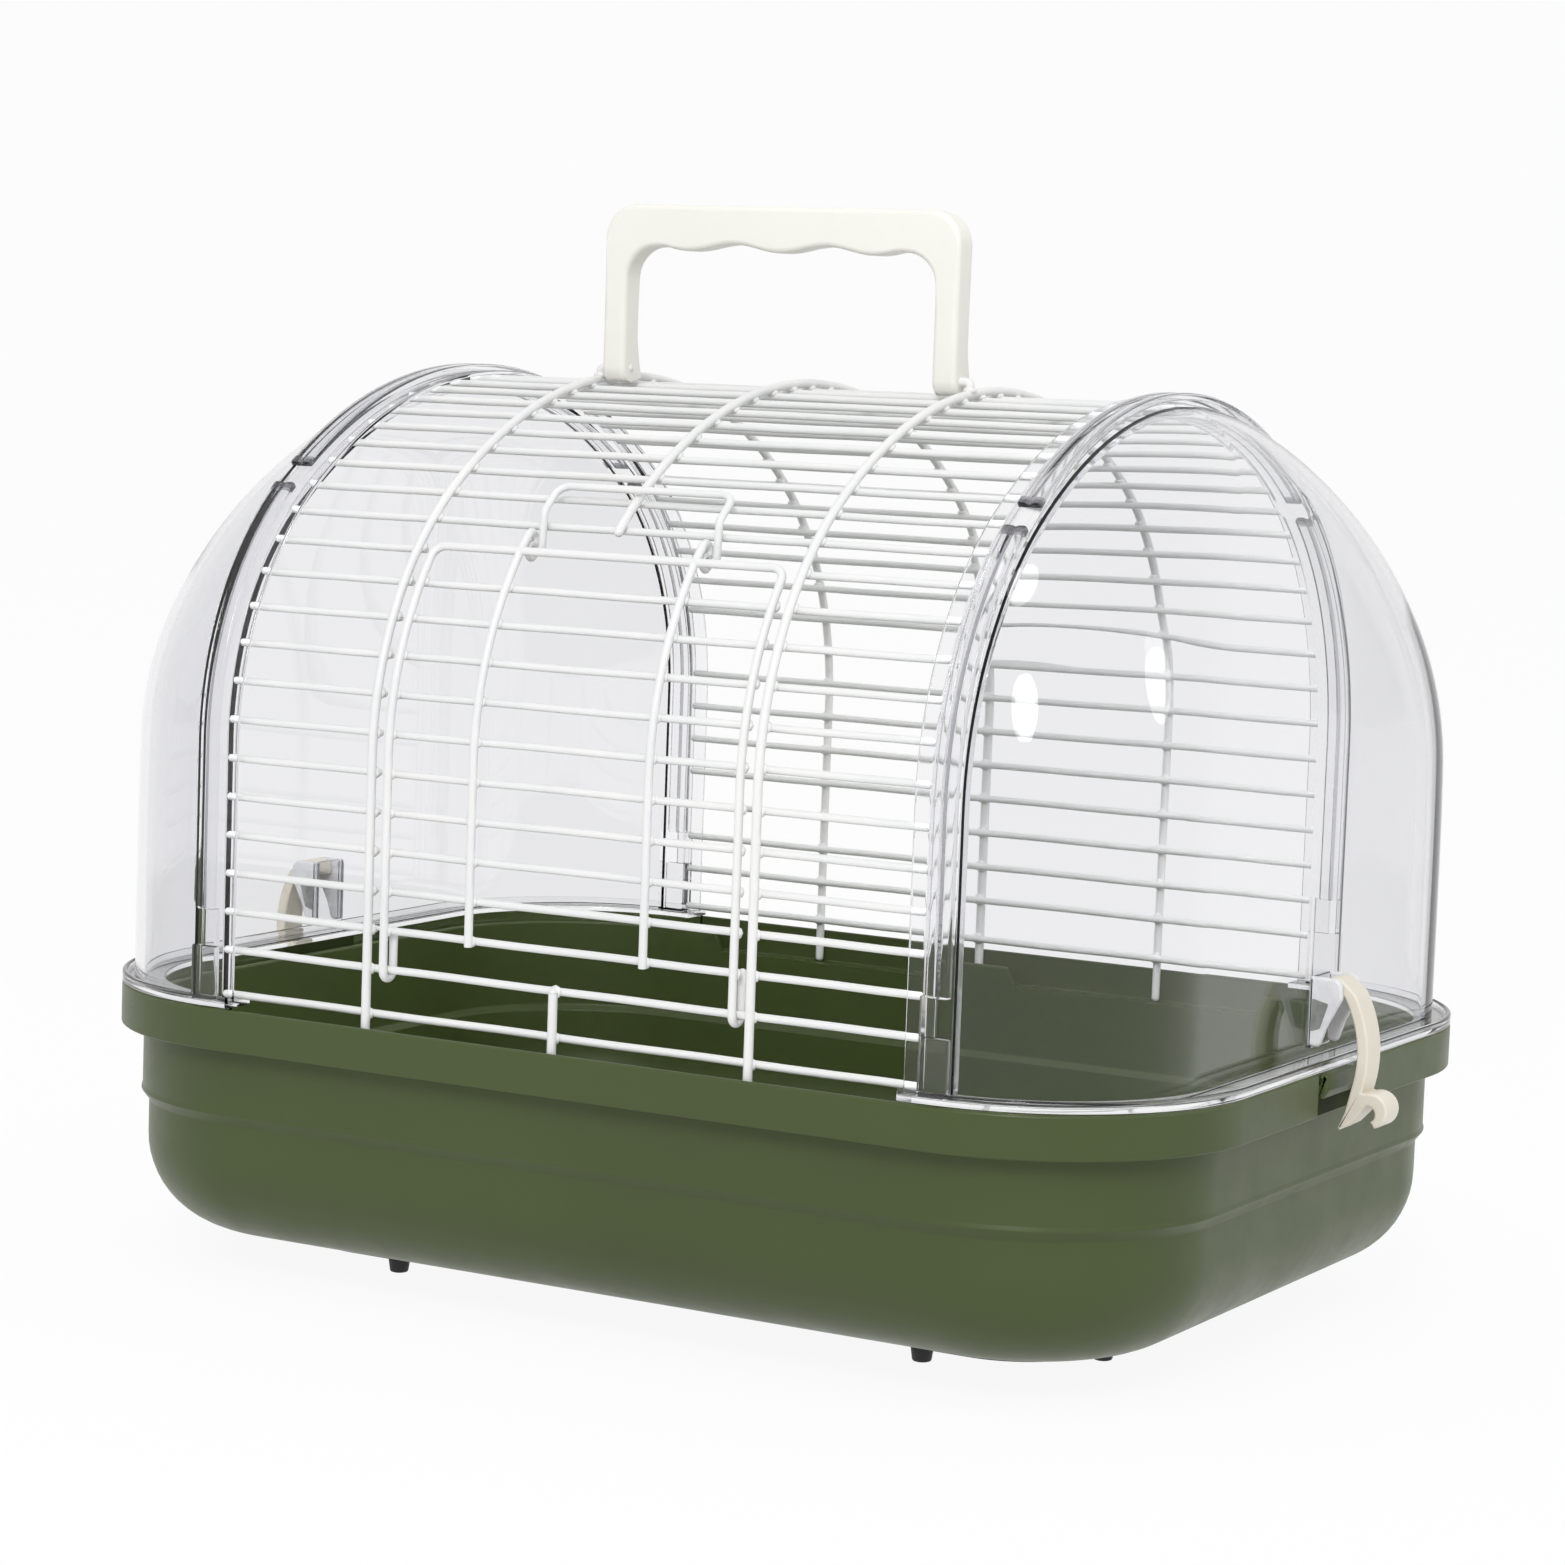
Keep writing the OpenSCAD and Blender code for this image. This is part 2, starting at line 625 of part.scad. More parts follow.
// Clamp strip up the front of an end frame, with a narrow neck and a foot block
module clamp_front(mx) {
    leg_face = -(leg_y + clamp_off);
    color(clear) mirror([mx, 0, 0]) union() {
        on_yz(ridge_x) linear_extrude(ridge_w) intersection() {
            vault_band(clamp_off, clamp_off + clamp_t, ridge_z);
            below(clamp_break - clamp_gap / 2);
            translate([-tray_w, 0]) square([tray_w, 2 * top_z]);
        }
        translate([wire_end_x + block_in, leg_face - clamp_t, neck_z])
            cube([neck_w, clamp_t, ridge_z - neck_z]);
        translate([wire_end_x + block_in, leg_face - clamp_t, flange_top])
            cube([block_w, clamp_t, neck_z - flange_top]);
    }
}

module clamp_back(mx) {
    mirror([0, 1, 0]) clamp_front(mx);
}

module clamp_top(mx) {
    color(clear) mirror([mx, 0, 0]) on_yz(ridge_x) linear_extrude(ridge_w) difference() {
        vault_band(clamp_off, clamp_off + clamp_t, shoulder_z);
        for (m = [0, 1]) mirror([m, 0]) below(clamp_break + clamp_gap / 2);
    }
}

// Two ears on the shell's end, on a backing plate, that carry a clip's pin
ear_r = 3;
ear_z = wire_z + 1;
plate_t = 1.5;

module clip_bracket(mx) {
    color(clear) mirror([mx, 0, 0]) difference() {
        union() {
            translate([shell_x, -ear_y, ear_z]) cube([plate_t, 2 * ear_y, clip_z + ear_r - ear_z]);
            for (y = [-ear_y, ear_y - ear_t]) translate([0, y, 0]) {
                translate([shell_x, 0, ear_z + ear_r]) cube([clip_pin_out, ear_t, clip_z - ear_z]);
                for (c = [[shell_x, ear_z + ear_r], [clip_x, clip_z]])
                    translate([c[0], 0, c[1]]) rotate([-90, 0, 0])
                        cylinder(r = ear_r, h = ear_t, $fn = 48);
            }
        }
        translate([clip_x, -ear_y - past, clip_z]) rotate([-90, 0, 0])
            cylinder(d = clip_pin_d, h = 2 * (ear_y + past), $fn = 48);
        translate([shell_x - ear_r - past, -ear_y - past, 0])
            cube([ear_r + past, 2 * (ear_y + past), top_z]);
    }
}

module clip_pin(mx) {
    color(cream) mirror([mx, 0, 0]) translate([clip_x, -ear_y, clip_z]) rotate([-90, 0, 0])
        cylinder(d = clip_pin_d, h = 2 * ear_y, $fn = 48);
}

// Outline of a clip in x and z: hub, bowed arm, claw under the rim and curled finger tab
bow_r = 30.5;
bow_in = 22.2;
bow_down = 16.7;
claw_drop = 4.1;
claw_edge = [[5.6, 3.7], [3.1, 1], [0.4, -0.6], [0, 0], [1.7, 4.2]];
tab_at = [8.6, 5.2];
tab_r = 4.5;
tab_inner_at = [7.6, 4.3];
tab_inner_r = 2.2;
// First and last angle of the bow's and the tab's outer and inner arcs
bow_arc = [34, -16];
bow_inner_arc = [-16, 37];
tab_arc = [110, -75];
tab_inner_arc = [-60, 90];

module clip_outline() {
    bow = [clip_x - bow_in, clip_z - bow_down];
    claw = [tray_l / 2 + seat_gap, skirt_z - claw_drop];
    translate([clip_x, clip_z]) circle(clip_t, $fn = 48);
    polygon(concat(
        arc_points(bow, bow_r + clip_t / 2, bow_arc[0], bow_arc[1]),
        arc_points(claw + tab_at, tab_r, tab_arc[0], tab_arc[1]),
        arc_points(claw + tab_inner_at, tab_inner_r, tab_inner_arc[0], tab_inner_arc[1]),
        [for (p = claw_edge) claw + p],
        arc_points(bow, bow_r - clip_t / 2, bow_inner_arc[0], bow_inner_arc[1])));
}

module clip(mx) {
    color(cream) mirror([mx, 0, 0]) translate([0, clip_w / 2, 0]) rotate([90, 0, 0])
        linear_extrude(clip_w) difference() {
            clip_outline();
            translate([clip_x, clip_z]) circle(d = clip_pin_d + 2 * pin_gap, $fn = 48);
        }
}

// Frame of the door: a bent wire over the arch, with a hairpin loop round the hinge wire at each foot
module door_frame() {
    bend_s = door_top_s - door_bend;
    bar_x = door_half - door_bend;
    bar_pt = arch_point(bend_s, loop_r) + turned([0, door_bend], arch_angle(bend_s));
    color(wire_white) union() {
        for (sx = [0, 1]) mirror([sx, 0, 0]) {
            corner_wire(at_x(bar_x, arch_point(bend_s, loop_r)), 90 - arch_angle(bend_s),
                door_bend, frame_d);
            front_wire(door_half, hinge_z, bend_s, loop_r, frame_d);
            ball([door_half, -leg_y - loop_r, hinge_z], frame_d + knuckle);
            arc_wire(door_half, hinge_pt, loop_r, 180, 360, frame_d);
            ball([door_half, loop_r - leg_y, hinge_z], frame_d + knuckle);
            bar([door_half, loop_r - leg_y, hinge_z],
                [door_half, loop_r - leg_y, hinge_z + loop_arm], frame_d);
        }
        translate(at_x(-bar_x, bar_pt)) rotate([0, 90, 0]) cylinder(d = frame_d, h = 2 * bar_x, $fn = 32);
    }
}

module door_rails() {
    reach = door_half + weld_end / 2;
    color(wire_white) wire_row([1:door_top_step - 1], -reach, reach, rail_off);
}

// Two uprights on the door, each curled in at its top to an eye for the latch
module door_uprights() {
    foot_z = hinge_z + pitch - weld_end;
    color(wire_white) for (x = [-upright_x, upright_x]) union() {
        front_wire(x, foot_z, curl_s, loop_r, frame_d);
        ball(at_x(x, arch_point(curl_s, loop_r)), frame_d + knuckle);
        arc_wire(x, curl_pt, curl_r, -curl_a, 180 - curl_a, frame_d);
        on_yz(x) translate(eye_pt) rotate_extrude($fn = 64)
            translate([eye_r, 0]) circle(d = eye_wire, $fn = 24);
    }
}

// One leg of the latch, with the axle that turns in its eye
module latch_leg(x) {
    bend_s = latch_s - latch_bend;
    turn = eye_pt + leg_run * leg_dir;
    axle = latch_side + eye_wire;
    translate(at_x(x - axle, eye_pt)) rotate([0, 90, 0])
        cylinder(d = latch_d, h = axle - eye_bend, $fn = 32);
    corner_wire(at_x(x - eye_bend, eye_pt + eye_bend * leg_dir), leg_a + 180, eye_bend, latch_d);
    bar(at_x(x, eye_pt + (eye_bend + joint_gap) * leg_dir), at_x(x, turn), latch_d);
    ball(at_x(x, turn), latch_d + knuckle);
    arc_wire(x, knee_pt, knee_r, 180 - arch_angle(knee_s), leg_a + 90, latch_d);
    ball(at_x(x, arch_point(knee_s, latch_off)), latch_d + knuckle);
    bent_wire(x, knee_s, bend_s, latch_off, latch_d);
}

// Wire bail that turns in the uprights' eyes and lies over the two wires above them
module door_latch() {
    left = latch_side - upright_x;
    right = latch_side + upright_x;
    bend_s = latch_s - latch_bend;
    bend_a = 90 - arch_angle(bend_s);
    bend_pt = arch_point(bend_s, latch_off);
    bar_pt = bend_pt + latch_bend * [cos(bend_a), sin(bend_a)];
    color(wire_white) union() {
        latch_leg(left);
        latch_leg(right);
        corner_wire(at_x(right - latch_bend, bend_pt), bend_a, latch_bend, latch_d);
        translate([left + latch_bend, 0, 0]) mirror([1, 0, 0])
            corner_wire(at_x(0, bend_pt), bend_a, latch_bend, latch_d);
        translate(at_x(left + latch_bend + joint_gap, bar_pt)) rotate([0, 90, 0])
            cylinder(d = latch_d, h = right - left - 2 * (latch_bend + joint_gap), $fn = 32);
    }
}

// The handle's inner corners have this much less radius, and its feet flare out behind
handle_bend_less = 3;
flare = 2.6;
flare_top = 6;
flare_edge = 8;
foot_in = 1;

// Underside of the grip at x, with finger grooves between low ridges
function grip_under(x) = grip_z - grip_t - wave_d / 2 * cos(x / wave_pitch * 360);

module handle_outline() {
    half = leg_x + leg_w / 2;
    in_half = leg_x - leg_w / 2;
    in_r = handle_r - handle_bend_less;
    difference() {
        union() {
            translate([-half, handle_pin_z]) square([2 * half, grip_rise - handle_r]);
            translate([handle_r - half, handle_pin_z]) square([2 * (half - handle_r), grip_rise]);
            for (side = [-1, 1])
                translate([side * (half - handle_r), grip_z - handle_r]) circle(handle_r, $fn = 96);
        }
        polygon(concat([[in_half, handle_pin_z - 1], [in_half, grip_z - grip_t - in_r]],
            [for (t = [15:15:75]) [in_half - in_r * (1 - cos(t)), grip_z - grip_t - in_r * (1 - sin(t))]],
            [for (i = [24:-1:-24]) let (x = i / 24 * (in_half - in_r)) [x, grip_under(x)]],
            [for (t = [75:-15:15])
                [in_r * (1 - cos(t)) - in_half, grip_z - grip_t - in_r * (1 - sin(t))]],
            [[-in_half, grip_z - grip_t - in_r], [-in_half, handle_pin_z - 1]]));
    }
}

// Carry handle: grip with finger grooves, two legs, feet bored for the pins and flared behind
module handle() {
    color(cream) translate([0, -handle_y, 0]) difference() {
        union() {
            translate([0, leg_t / 2, 0]) rotate([90, 0, 0]) linear_extrude(leg_t) handle_outline();
            for (side = [-1, 1]) translate([side * leg_x - leg_w / 2, 0, handle_pin_z]) {
                rotate([0, 90, 0]) cylinder(d = leg_t, h = leg_w, $fn = 64);
                rotate([90, 0, 90]) linear_extrude(leg_w)
                    polygon([[0, flare_top], [leg_t / 2, flare_edge],
                             [leg_t / 2 + flare, foot_in - leg_t / 2], [0, foot_in - leg_t / 2]]);
            }
        }
        translate([-tray_w / 2, 0, handle_pin_z]) rotate([0, 90, 0])
            cylinder(d = handle_pin_d + 2 * pin_gap, h = tray_w, $fn = 48);
    }
}

// Bent wire pins that stand on the side hoops, sunk a little into them, and carry the handle's feet
pin_sink = 0.05;
pin_proud = 0.5;

module handle_pins() {
    foot_z = crown_z + sqrt(pow(crown_r + hoop_off, 2) - pow(handle_y, 2)) + hoop_d / 2 - pin_sink;
    color(wire_white) for (sx = [0, 1]) mirror([sx, 0, 0]) union() {
        bar([hoop_x, -handle_y, foot_z], [hoop_x, -handle_y, handle_pin_z], handle_pin_d);
        ball([hoop_x, -handle_y, handle_pin_z], handle_pin_d + knuckle);
        bar([leg_x - leg_w / 2 - pin_proud, -handle_y, handle_pin_z],
            [hoop_x, -handle_y, handle_pin_z], handle_pin_d);
    }
}

tray();
foot_strip(1, 1);  // foot_strip_front_left
foot_strip(0, 1);  // foot_strip_front_right
foot_strip(1, 0);  // foot_strip_back_left
foot_strip(0, 0);  // foot_strip_back_right
hoop(-hoop_x);  // hoop_left
hoop_middle();
hoop(hoop_x);  // hoop_right
hoop_stub();
base_wires_front();
side_wires_front(-1);  // side_wires_front_left
side_wires_front(1);  // side_wires_front_right
full_wires(door_top_step + 1, door_top_step + 6);  // shoulder_wires_front
full_wires(door_top_step + 7, 2 * wire_steps - door_top_step - 7);  // roof_wires
full_wires(2 * wire_steps - door_top_step - 6, 2 * wire_steps - door_top_step - 1);  // shoulder_wires_back
side_wires_back();
end_frame(1);  // end_frame_left
end_frame(0);  // end_frame_right
shell(1);  // shell_left
shell(0);  // shell_right
base_flange(1);  // base_flange_left
base_flange(0);  // base_flange_right
clamp_front(1);  // clamp_front_left
clamp_top(1);  // clamp_top_left
clamp_back(1);  // clamp_back_left
clamp_front(0);  // clamp_front_right
clamp_top(0);  // clamp_top_right
clamp_back(0);  // clamp_back_right
clip_bracket(1);  // clip_bracket_left
clip_bracket(0);  // clip_bracket_right
clip_pin(1);  // clip_pin_left
clip_pin(0);  // clip_pin_right
clip(1);  // clip_left
clip(0);  // clip_right
door_frame();
door_rails();
door_uprights();
door_latch();
handle();
handle_pins();
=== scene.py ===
from math import acos, atan2, cos, pi, radians, sin, sqrt, tan

import bmesh
import bpy
from mathutils import Matrix, Vector


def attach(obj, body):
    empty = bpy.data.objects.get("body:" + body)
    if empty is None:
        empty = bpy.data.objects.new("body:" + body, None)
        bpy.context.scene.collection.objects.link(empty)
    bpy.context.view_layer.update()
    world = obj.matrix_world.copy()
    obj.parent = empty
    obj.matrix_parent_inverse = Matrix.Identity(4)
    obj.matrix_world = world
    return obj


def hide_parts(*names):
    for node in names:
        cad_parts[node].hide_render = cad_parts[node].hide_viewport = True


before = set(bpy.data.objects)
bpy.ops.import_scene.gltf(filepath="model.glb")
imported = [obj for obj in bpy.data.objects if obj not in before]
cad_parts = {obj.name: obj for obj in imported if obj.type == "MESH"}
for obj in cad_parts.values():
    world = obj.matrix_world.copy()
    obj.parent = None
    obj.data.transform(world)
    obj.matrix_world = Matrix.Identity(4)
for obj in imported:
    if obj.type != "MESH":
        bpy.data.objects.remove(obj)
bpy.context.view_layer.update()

MM = 0.001

# Sizes in millimetres: those of the CAD model, apart from a fuller grip and a deeper catch pocket
CORNER_X, CORNER_Y = 104.5, 63.0
RIM_R, LIP_R = 58.5, 56.9
WALL_R, LOWER_R, WALL_T = 52.5, 50.7, 2.5
INNER_R, INNER_T = 52.0, 2.0
RIM_TOP, CHANNEL_Z, SKIRT_Z, STEP_Z = 76.0, 66.5, 65.0, 45.0
INNER_TOP, FLOOR_Z, BELLY_R = 72.5, 10.0, 25.0
TAB_HALF, LOW_HALF = 12.0, 90.0
POCKET_HALF, POCKET_DEPTH, PLATE_T, PLATE_Z, PLATE_TOP = 17.0, 4.2, 1.6, 63.4, 75.0
CATCH_HALF, CATCH_IN, CATCH_Z = 9.5, 0.7, 68.5
RIM_X = CORNER_X + RIM_R
# How far inside the lip the rim's section begins, and the share of the inner wall left where it is low
RIM_ROOT, LOW_SHARE = 0.7, 0.06
# Distances from the middle of a long and a short side at which the tray's section is set
LONG_MARKS = [0.0, TAB_HALF - 0.6, TAB_HALF + 1.8, 40.0, 66.0, LOW_HALF - 1.8, LOW_HALF + 0.6, CORNER_X]
SHORT_MARKS = [0.0, POCKET_HALF - 0.9, POCKET_HALF - 0.05, POCKET_HALF + 0.05, POCKET_HALF + 0.9, 40.0,
               CORNER_Y]

WIRE_R, HOOP_R, FRAME_R = 1.0, 1.2, 1.1
WIRE_Z, HINGE_Z, LEG_Y = 79.5, 91.1, 116.2
SHOULDER_R, SHOULDER_Y, SHOULDER_Z = 84.0, 32.2, 145.2
TOP_Z = 240.3
DROP = TOP_Z - SHOULDER_Z
CROWN_R = (DROP ** 2 + SHOULDER_Y ** 2 - SHOULDER_R ** 2) / (2 * (DROP - SHOULDER_R))
CROWN_Z = TOP_Z - CROWN_R
CROWN_A = atan2(SHOULDER_Y, SHOULDER_Z - CROWN_Z)
LEG_LEN = SHOULDER_Z - HINGE_Z
SHOULDER_LEN = SHOULDER_R * (pi / 2 - CROWN_A)
HALF = LEG_LEN + SHOULDER_LEN + CROWN_R * CROWN_A
STEPS = 22
PITCH = HALF / STEPS
DOOR_STEP = 11
HOOP_X, WIRE_END, WELD_END = 56.5, 103.0, 1.5
HOOP_OFF = 2.2
HOOP_FOOT = CHANNEL_Z + 0.3
HOOK_S = (DOOR_STEP + 1) * PITCH
SHOULDER_WIRES, HOOP_TIP, WELD_R, WELD_RISE = 6, 3.5, 1.75, 1.05

DOOR_HALF, DOOR_BEND, UPRIGHT_X, LOOP_R, LOOP_ARM, RAIL_OFF = 51.5, 5.0, 25.7, 2.2, 11.0, 0.1
CURL_R, CURL_DROP, EYE_R, EYE_WIRE_R = 2.0, 5.1, 1.9, 0.8
LATCH_SIDE, LATCH_OFF, LATCH_BEND, EYE_BEND, KNEE_R = 3.1, 4.7, 6.0, 1.4, 3.0

FRAME_W, FLAP_X, FLAP_OFF, FLAP_T, FRAME_IN = 8.5, 99.0, 1.1, 1.2, 3.0
FRAME_OUT = FLAP_OFF + FLAP_T
CLAMP_T, RIDGE_X, RIDGE_W = 1.6, 104.5, 6.5
# DARK_END is how far the painted shade reaches in from each cut end of a clamp strip.
CLAMP_BREAK, CLAMP_GAP, CLAMP_NECK, CLAMP_RIDGE, DARK_END = 131.0, 8.0, 12.5, 22, 2.4
FLANGE_Z, FLANGE_TOP, BEAD_TOP = 76.3, 77.8, 79.3
SHELL_T, SHELL_REACH, SHELL_OFF, SHELL_CORNER = 1.8, 52.0, 1.9, 46.0
DOME_Z, VAULT_H = 144.5, 160.8
SHELL_X = WIRE_END + SHELL_REACH

CLIP_X, CLIP_Z, CLIP_W, CLIP_T, CLIP_PIN_R = 160.8, 96.0, 9.0, 3.1, 1.1
BOW_IN, BOW_DROP, BOW_R, CLAW_GAP, CLAW_DROP = 22.2, 16.7, 30.5, 0.3, 4.1
THUMB_OUT, THUMB_UP, THUMB_R = 8.6, 5.2, 4.5
EAR_Y, EAR_T, WINDOW_T, BACKING_T = 7.0, 2.2, 0.3, 0.8

HANDLE_Y, PIN_Z, GRIP_Z, LEG_X, LEG_W, LEG_T = 16.0, 244.764, 288.764, 50.4, 7.0, 8.0
GRIP_T, WAVE_D, WAVE_PITCH, HANDLE_R, PIN_R, PIN_BEND = 11.2, 2.0, 28.0, 9.0, 1.2, 1.6
# The bulge behind each foot of the handle, and how far it reaches above and below the pin
HEEL, HEEL_TOP, HEEL_LOW = 2.5, 8, 2.4

STRIP_X, STRIP_Y, STRIP_R, STRIP_W, STRIP_H = 116.0, 66.5, 22.0, 6.0, 6.5
STRIP_RUN, STRIP_END_RUN = 14.0, 8.0
ENDS = ((1, "right"), (-1, "left"))

# Camera and studio, in metres, watts and degrees; the camera is fitted to points of the photograph
CAMERA_AT, CAMERA_LENS = (0.55834, -0.98742, 0.25474), 96.75
CAMERA_TURN = (29.67, 6.046, 2.065)
FLOOR_R, FLOOR_GLOW, BACKDROP, WORLD_LIGHT = 6, 0.92, 0.972, (0.44, 0.8)
KEY_SPOT, FILL_SPOT = Vector((0.124, -0.111, 0.17)), Vector((0.146, -0.086, 0.175))
# Each lamp's name, place, the point that it faces, width, height and power
LAMPS = [("key", KEY_SPOT + Vector((0.279, -0.778, 0.563)) * 2.2, KEY_SPOT, 0.52, 0.97, 20),
         ("fill", FILL_SPOT + Vector((0.844, 0.261, 0.468)) * 1.8, FILL_SPOT, 0.44, 0.66, 2.6),
         ("top", (0.12, -0.65, 1.91), KEY_SPOT, 0.42, 0.52, 2.5)]


# Mesh code


class Shape:
    """Vertices in millimetres and faces, gathered from several closed forms."""

    def __init__(self):
        self.verts = []
        self.faces = []
        self.marks = []

    def add(self, verts, faces, mark=0):
        base = len(self.verts)
        self.verts.extend(Vector(v) for v in verts)
        self.faces.extend([base + i for i in f] for f in faces)
        self.marks.extend([mark] * len(faces))

    def loft(self, rings, caps=True, loop=False, cap_mark=0, dark_rings=(), dark_sides=()):
        """Skins rings of equal length; a loop joins the last ring to the first.

        Faces of the dark rings and dark sides get mark 1, the end caps cap_mark. A mark is the number of
        the material that a face takes.
        """
        n = len(rings[0])
        verts = [v for ring in rings for v in ring]
        faces = []
        for k in range(len(rings) - (0 if loop else 1)):
            a, b = k * n, (k + 1) % len(rings) * n
            for j in range(n):
                i = (j + 1) % n
                faces.append([a + j, a + i, b + i, b + j])
        self.add(verts, faces)
        first = len(self.marks) - len(faces)
        for k in range(len(faces) // n):
            for j in range(n):
                if k in dark_rings or j in dark_sides:
                    self.marks[first + k * n + j] = 1
        if caps and not loop:
            base = len(self.verts) - len(verts)
            self.faces.append([base + j for j in reversed(range(n))])
            self.faces.append([base + len(verts) - n + j for j in range(n)])
            self.marks.extend([cap_mark, cap_mark])

    def mirrored(self, axis=0):
        """The same form on the other side of x = 0, or with axis 1 on that of y = 0."""
        other = Shape()
        other.verts = [Vector([-c if i == axis else c for i, c in enumerate(v)]) for v in self.verts]
        other.faces = [list(reversed(f)) for f in self.faces]
        other.marks = list(self.marks)
        return other


def build(name, shape, body, nodes, materials, flats=False):
    """Makes the mesh object, rides it on its body and hides the CAD nodes in its place."""
    mesh = bpy.data.meshes.new(name)
    mesh.from_pydata([v * MM for v in shape.verts], [], shape.faces)
    bm = bmesh.new()
    bm.from_mesh(mesh)
    layer = bm.faces.layers.int.new("mark")
    for face, mark in zip(bm.faces, shape.marks):
        face[layer] = mark
    bmesh.ops.remove_doubles(bm, verts=bm.verts, dist=1e-6)
    bmesh.ops.dissolve_degenerate(bm, edges=bm.edges, dist=1e-7)
    bmesh.ops.recalc_face_normals(bm, faces=bm.faces)
    for face in bm.faces:
        face.smooth = True
        face.material_index = min(face[layer], len(materials) - 1)
    bm.to_mesh(mesh)
    bm.free()
    mesh.set_sharp_from_angle(angle=radians(50))
    for material in materials:
        mesh.materials.append(material)
    piece = bpy.data.objects.new(name, mesh)
    bpy.context.scene.collection.objects.link(piece)
    if flats:
        weighted = piece.modifiers.new("even_shading", "WEIGHTED_NORMAL")
        weighted.keep_sharp = True
    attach(piece, body)
    if nodes:
        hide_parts(*nodes)
    return piece


def rounded(points, steps=4, closed=True):
    """Turns each corner (..., radius) into an arc; the last number of a point is its radius."""
    out = []
    n = len(points)
    for i, p in enumerate(points):
        here, r = Vector(p[:-1]), p[-1]
        if r <= 0 or (not closed and i in (0, n - 1)):
            out.append(here)
            continue
        back = Vector(points[i - 1][:-1]) - here
        ahead = Vector(points[(i + 1) % n][:-1]) - here
        angle = back.angle(ahead)
        if angle > pi - 0.01:
            out.append(here)
            continue
        t = min(r / tan(angle / 2), 0.49 * back.length, 0.49 * ahead.length)
        w = sin(angle / 2)
        a, b = here + back.normalized() * t, here + ahead.normalized() * t
        for k in range(steps + 1):
            u = k / steps
            share = [(1 - u) ** 2, 2 * u * (1 - u) * w, u ** 2]
            out.append((a * share[0] + here * share[1] + b * share[2]) / sum(share))
    return out


def quarter(n):
    """Angles of a quarter turn in n steps."""
    return [pi / 2 * k / n for k in range(n + 1)]


def round_about(n):
    """Cosine and sine of n equal steps round a circle."""
    return [(cos(2 * pi * j / n), sin(2 * pi * j / n)) for j in range(n)]


def tube(shape, path, r, sides=14, loop=False, end=0.8):
    """Round wire along a path; end is how far its rounded ends reach, in radii."""
    pts = [Vector(p) for p in path]
    pts = [p for i, p in enumerate(pts) if i == 0 or (p - pts[i - 1]).length > 1e-4]
    n = len(pts)
    if loop:
        tans = [(pts[(i + 1) % n] - pts[i - 1]).normalized() for i in range(n)]
    else:
        tans = [(pts[min(i + 1, n - 1)] - pts[max(i - 1, 0)]).normalized() for i in range(n)]
    side = tans[0].orthogonal().normalized()
    rings = []
    for i, (p, t) in enumerate(zip(pts, tans)):
        side = (side - t * side.dot(t)).normalized()
        other = t.cross(side)
        spoke = [side * c + other * s for c, s in round_about(sides)]
        stretch = [(0, 1)]
        if not loop and i == 0:
            stretch = [(-end * r * cos(radians(a)), sin(radians(a))) for a in (12, 35, 62)] + stretch
        if not loop and i == n - 1:
            stretch = stretch + [(end * r * cos(radians(a)), sin(radians(a))) for a in (62, 35, 12)]
        inward = end * r if not loop and i == 0 else (-end * r if not loop and i == n - 1 else 0)
        for shift, scale in stretch:
            rings.append([p + t * (shift + inward) + s * (r * scale) for s in spoke])
    shape.loft(rings, loop=loop)


def bead(shape, centre, u, v, w, sides=8, levels=5):
    """Soft weld bead with half axes u, v and w."""
    rings = []
    for k in range(1, levels + 1):
        a = pi * k / (levels + 1)
        rings.append([centre - w * cos(a) + (u * c + v * s) * sin(a) for c, s in round_about(sides)])
    shape.loft(rings)


def slab(shape, outline, place, depth, bevel, steps=3, cap_mark=0):
    """Extrudes an outline from 0 to depth with rounded edges; place(u, v, w) gives the point."""
    pts = [Vector(p) for p in outline]
    pts = [p for i, p in enumerate(pts) if (p - pts[i - 1]).length > 1e-3]
    n = len(pts)
    area = sum(pts[i - 1].x * pts[i].y - pts[i].x * pts[i - 1].y for i in range(n))
    turn = 1 if area > 0 else -1
    inward = []
    for i in range(n):
        a = (pts[i] - pts[i - 1]).normalized()
        b = (pts[(i + 1) % n] - pts[i]).normalized()
        na, nb = Vector((-a.y, a.x)) * turn, Vector((-b.y, b.x)) * turn
        m = (na + nb).normalized()
        inward.append(m / max(0.5, m.dot(na)))
    rings = []
    angles = [90 * k / steps for k in range(steps + 1)]
    for a in angles:
        inset, w = bevel * (1 - sin(radians(a))), bevel * (1 - cos(radians(a)))
        rings.append([place(*(p + q * inset), w) for p, q in zip(pts, inward)])
    for a in reversed(angles):
        inset, w = bevel * (1 - sin(radians(a))), depth - bevel * (1 - cos(radians(a)))
        rings.append([place(*(p + q * inset), w) for p, q in zip(pts, inward)])
    shape.loft(rings, cap_mark=cap_mark)


def turned_form(shape, profile, centre, sides=32):
    """Form turned about a vertical axis; the profile is a list of (radius, z)."""
    rings = [[Vector((centre[0] + r * c, centre[1] + r * s, z)) for c, s in round_about(sides)]
             for r, z in profile]
    shape.loft(rings)


# The arch that wires, frames and covers follow


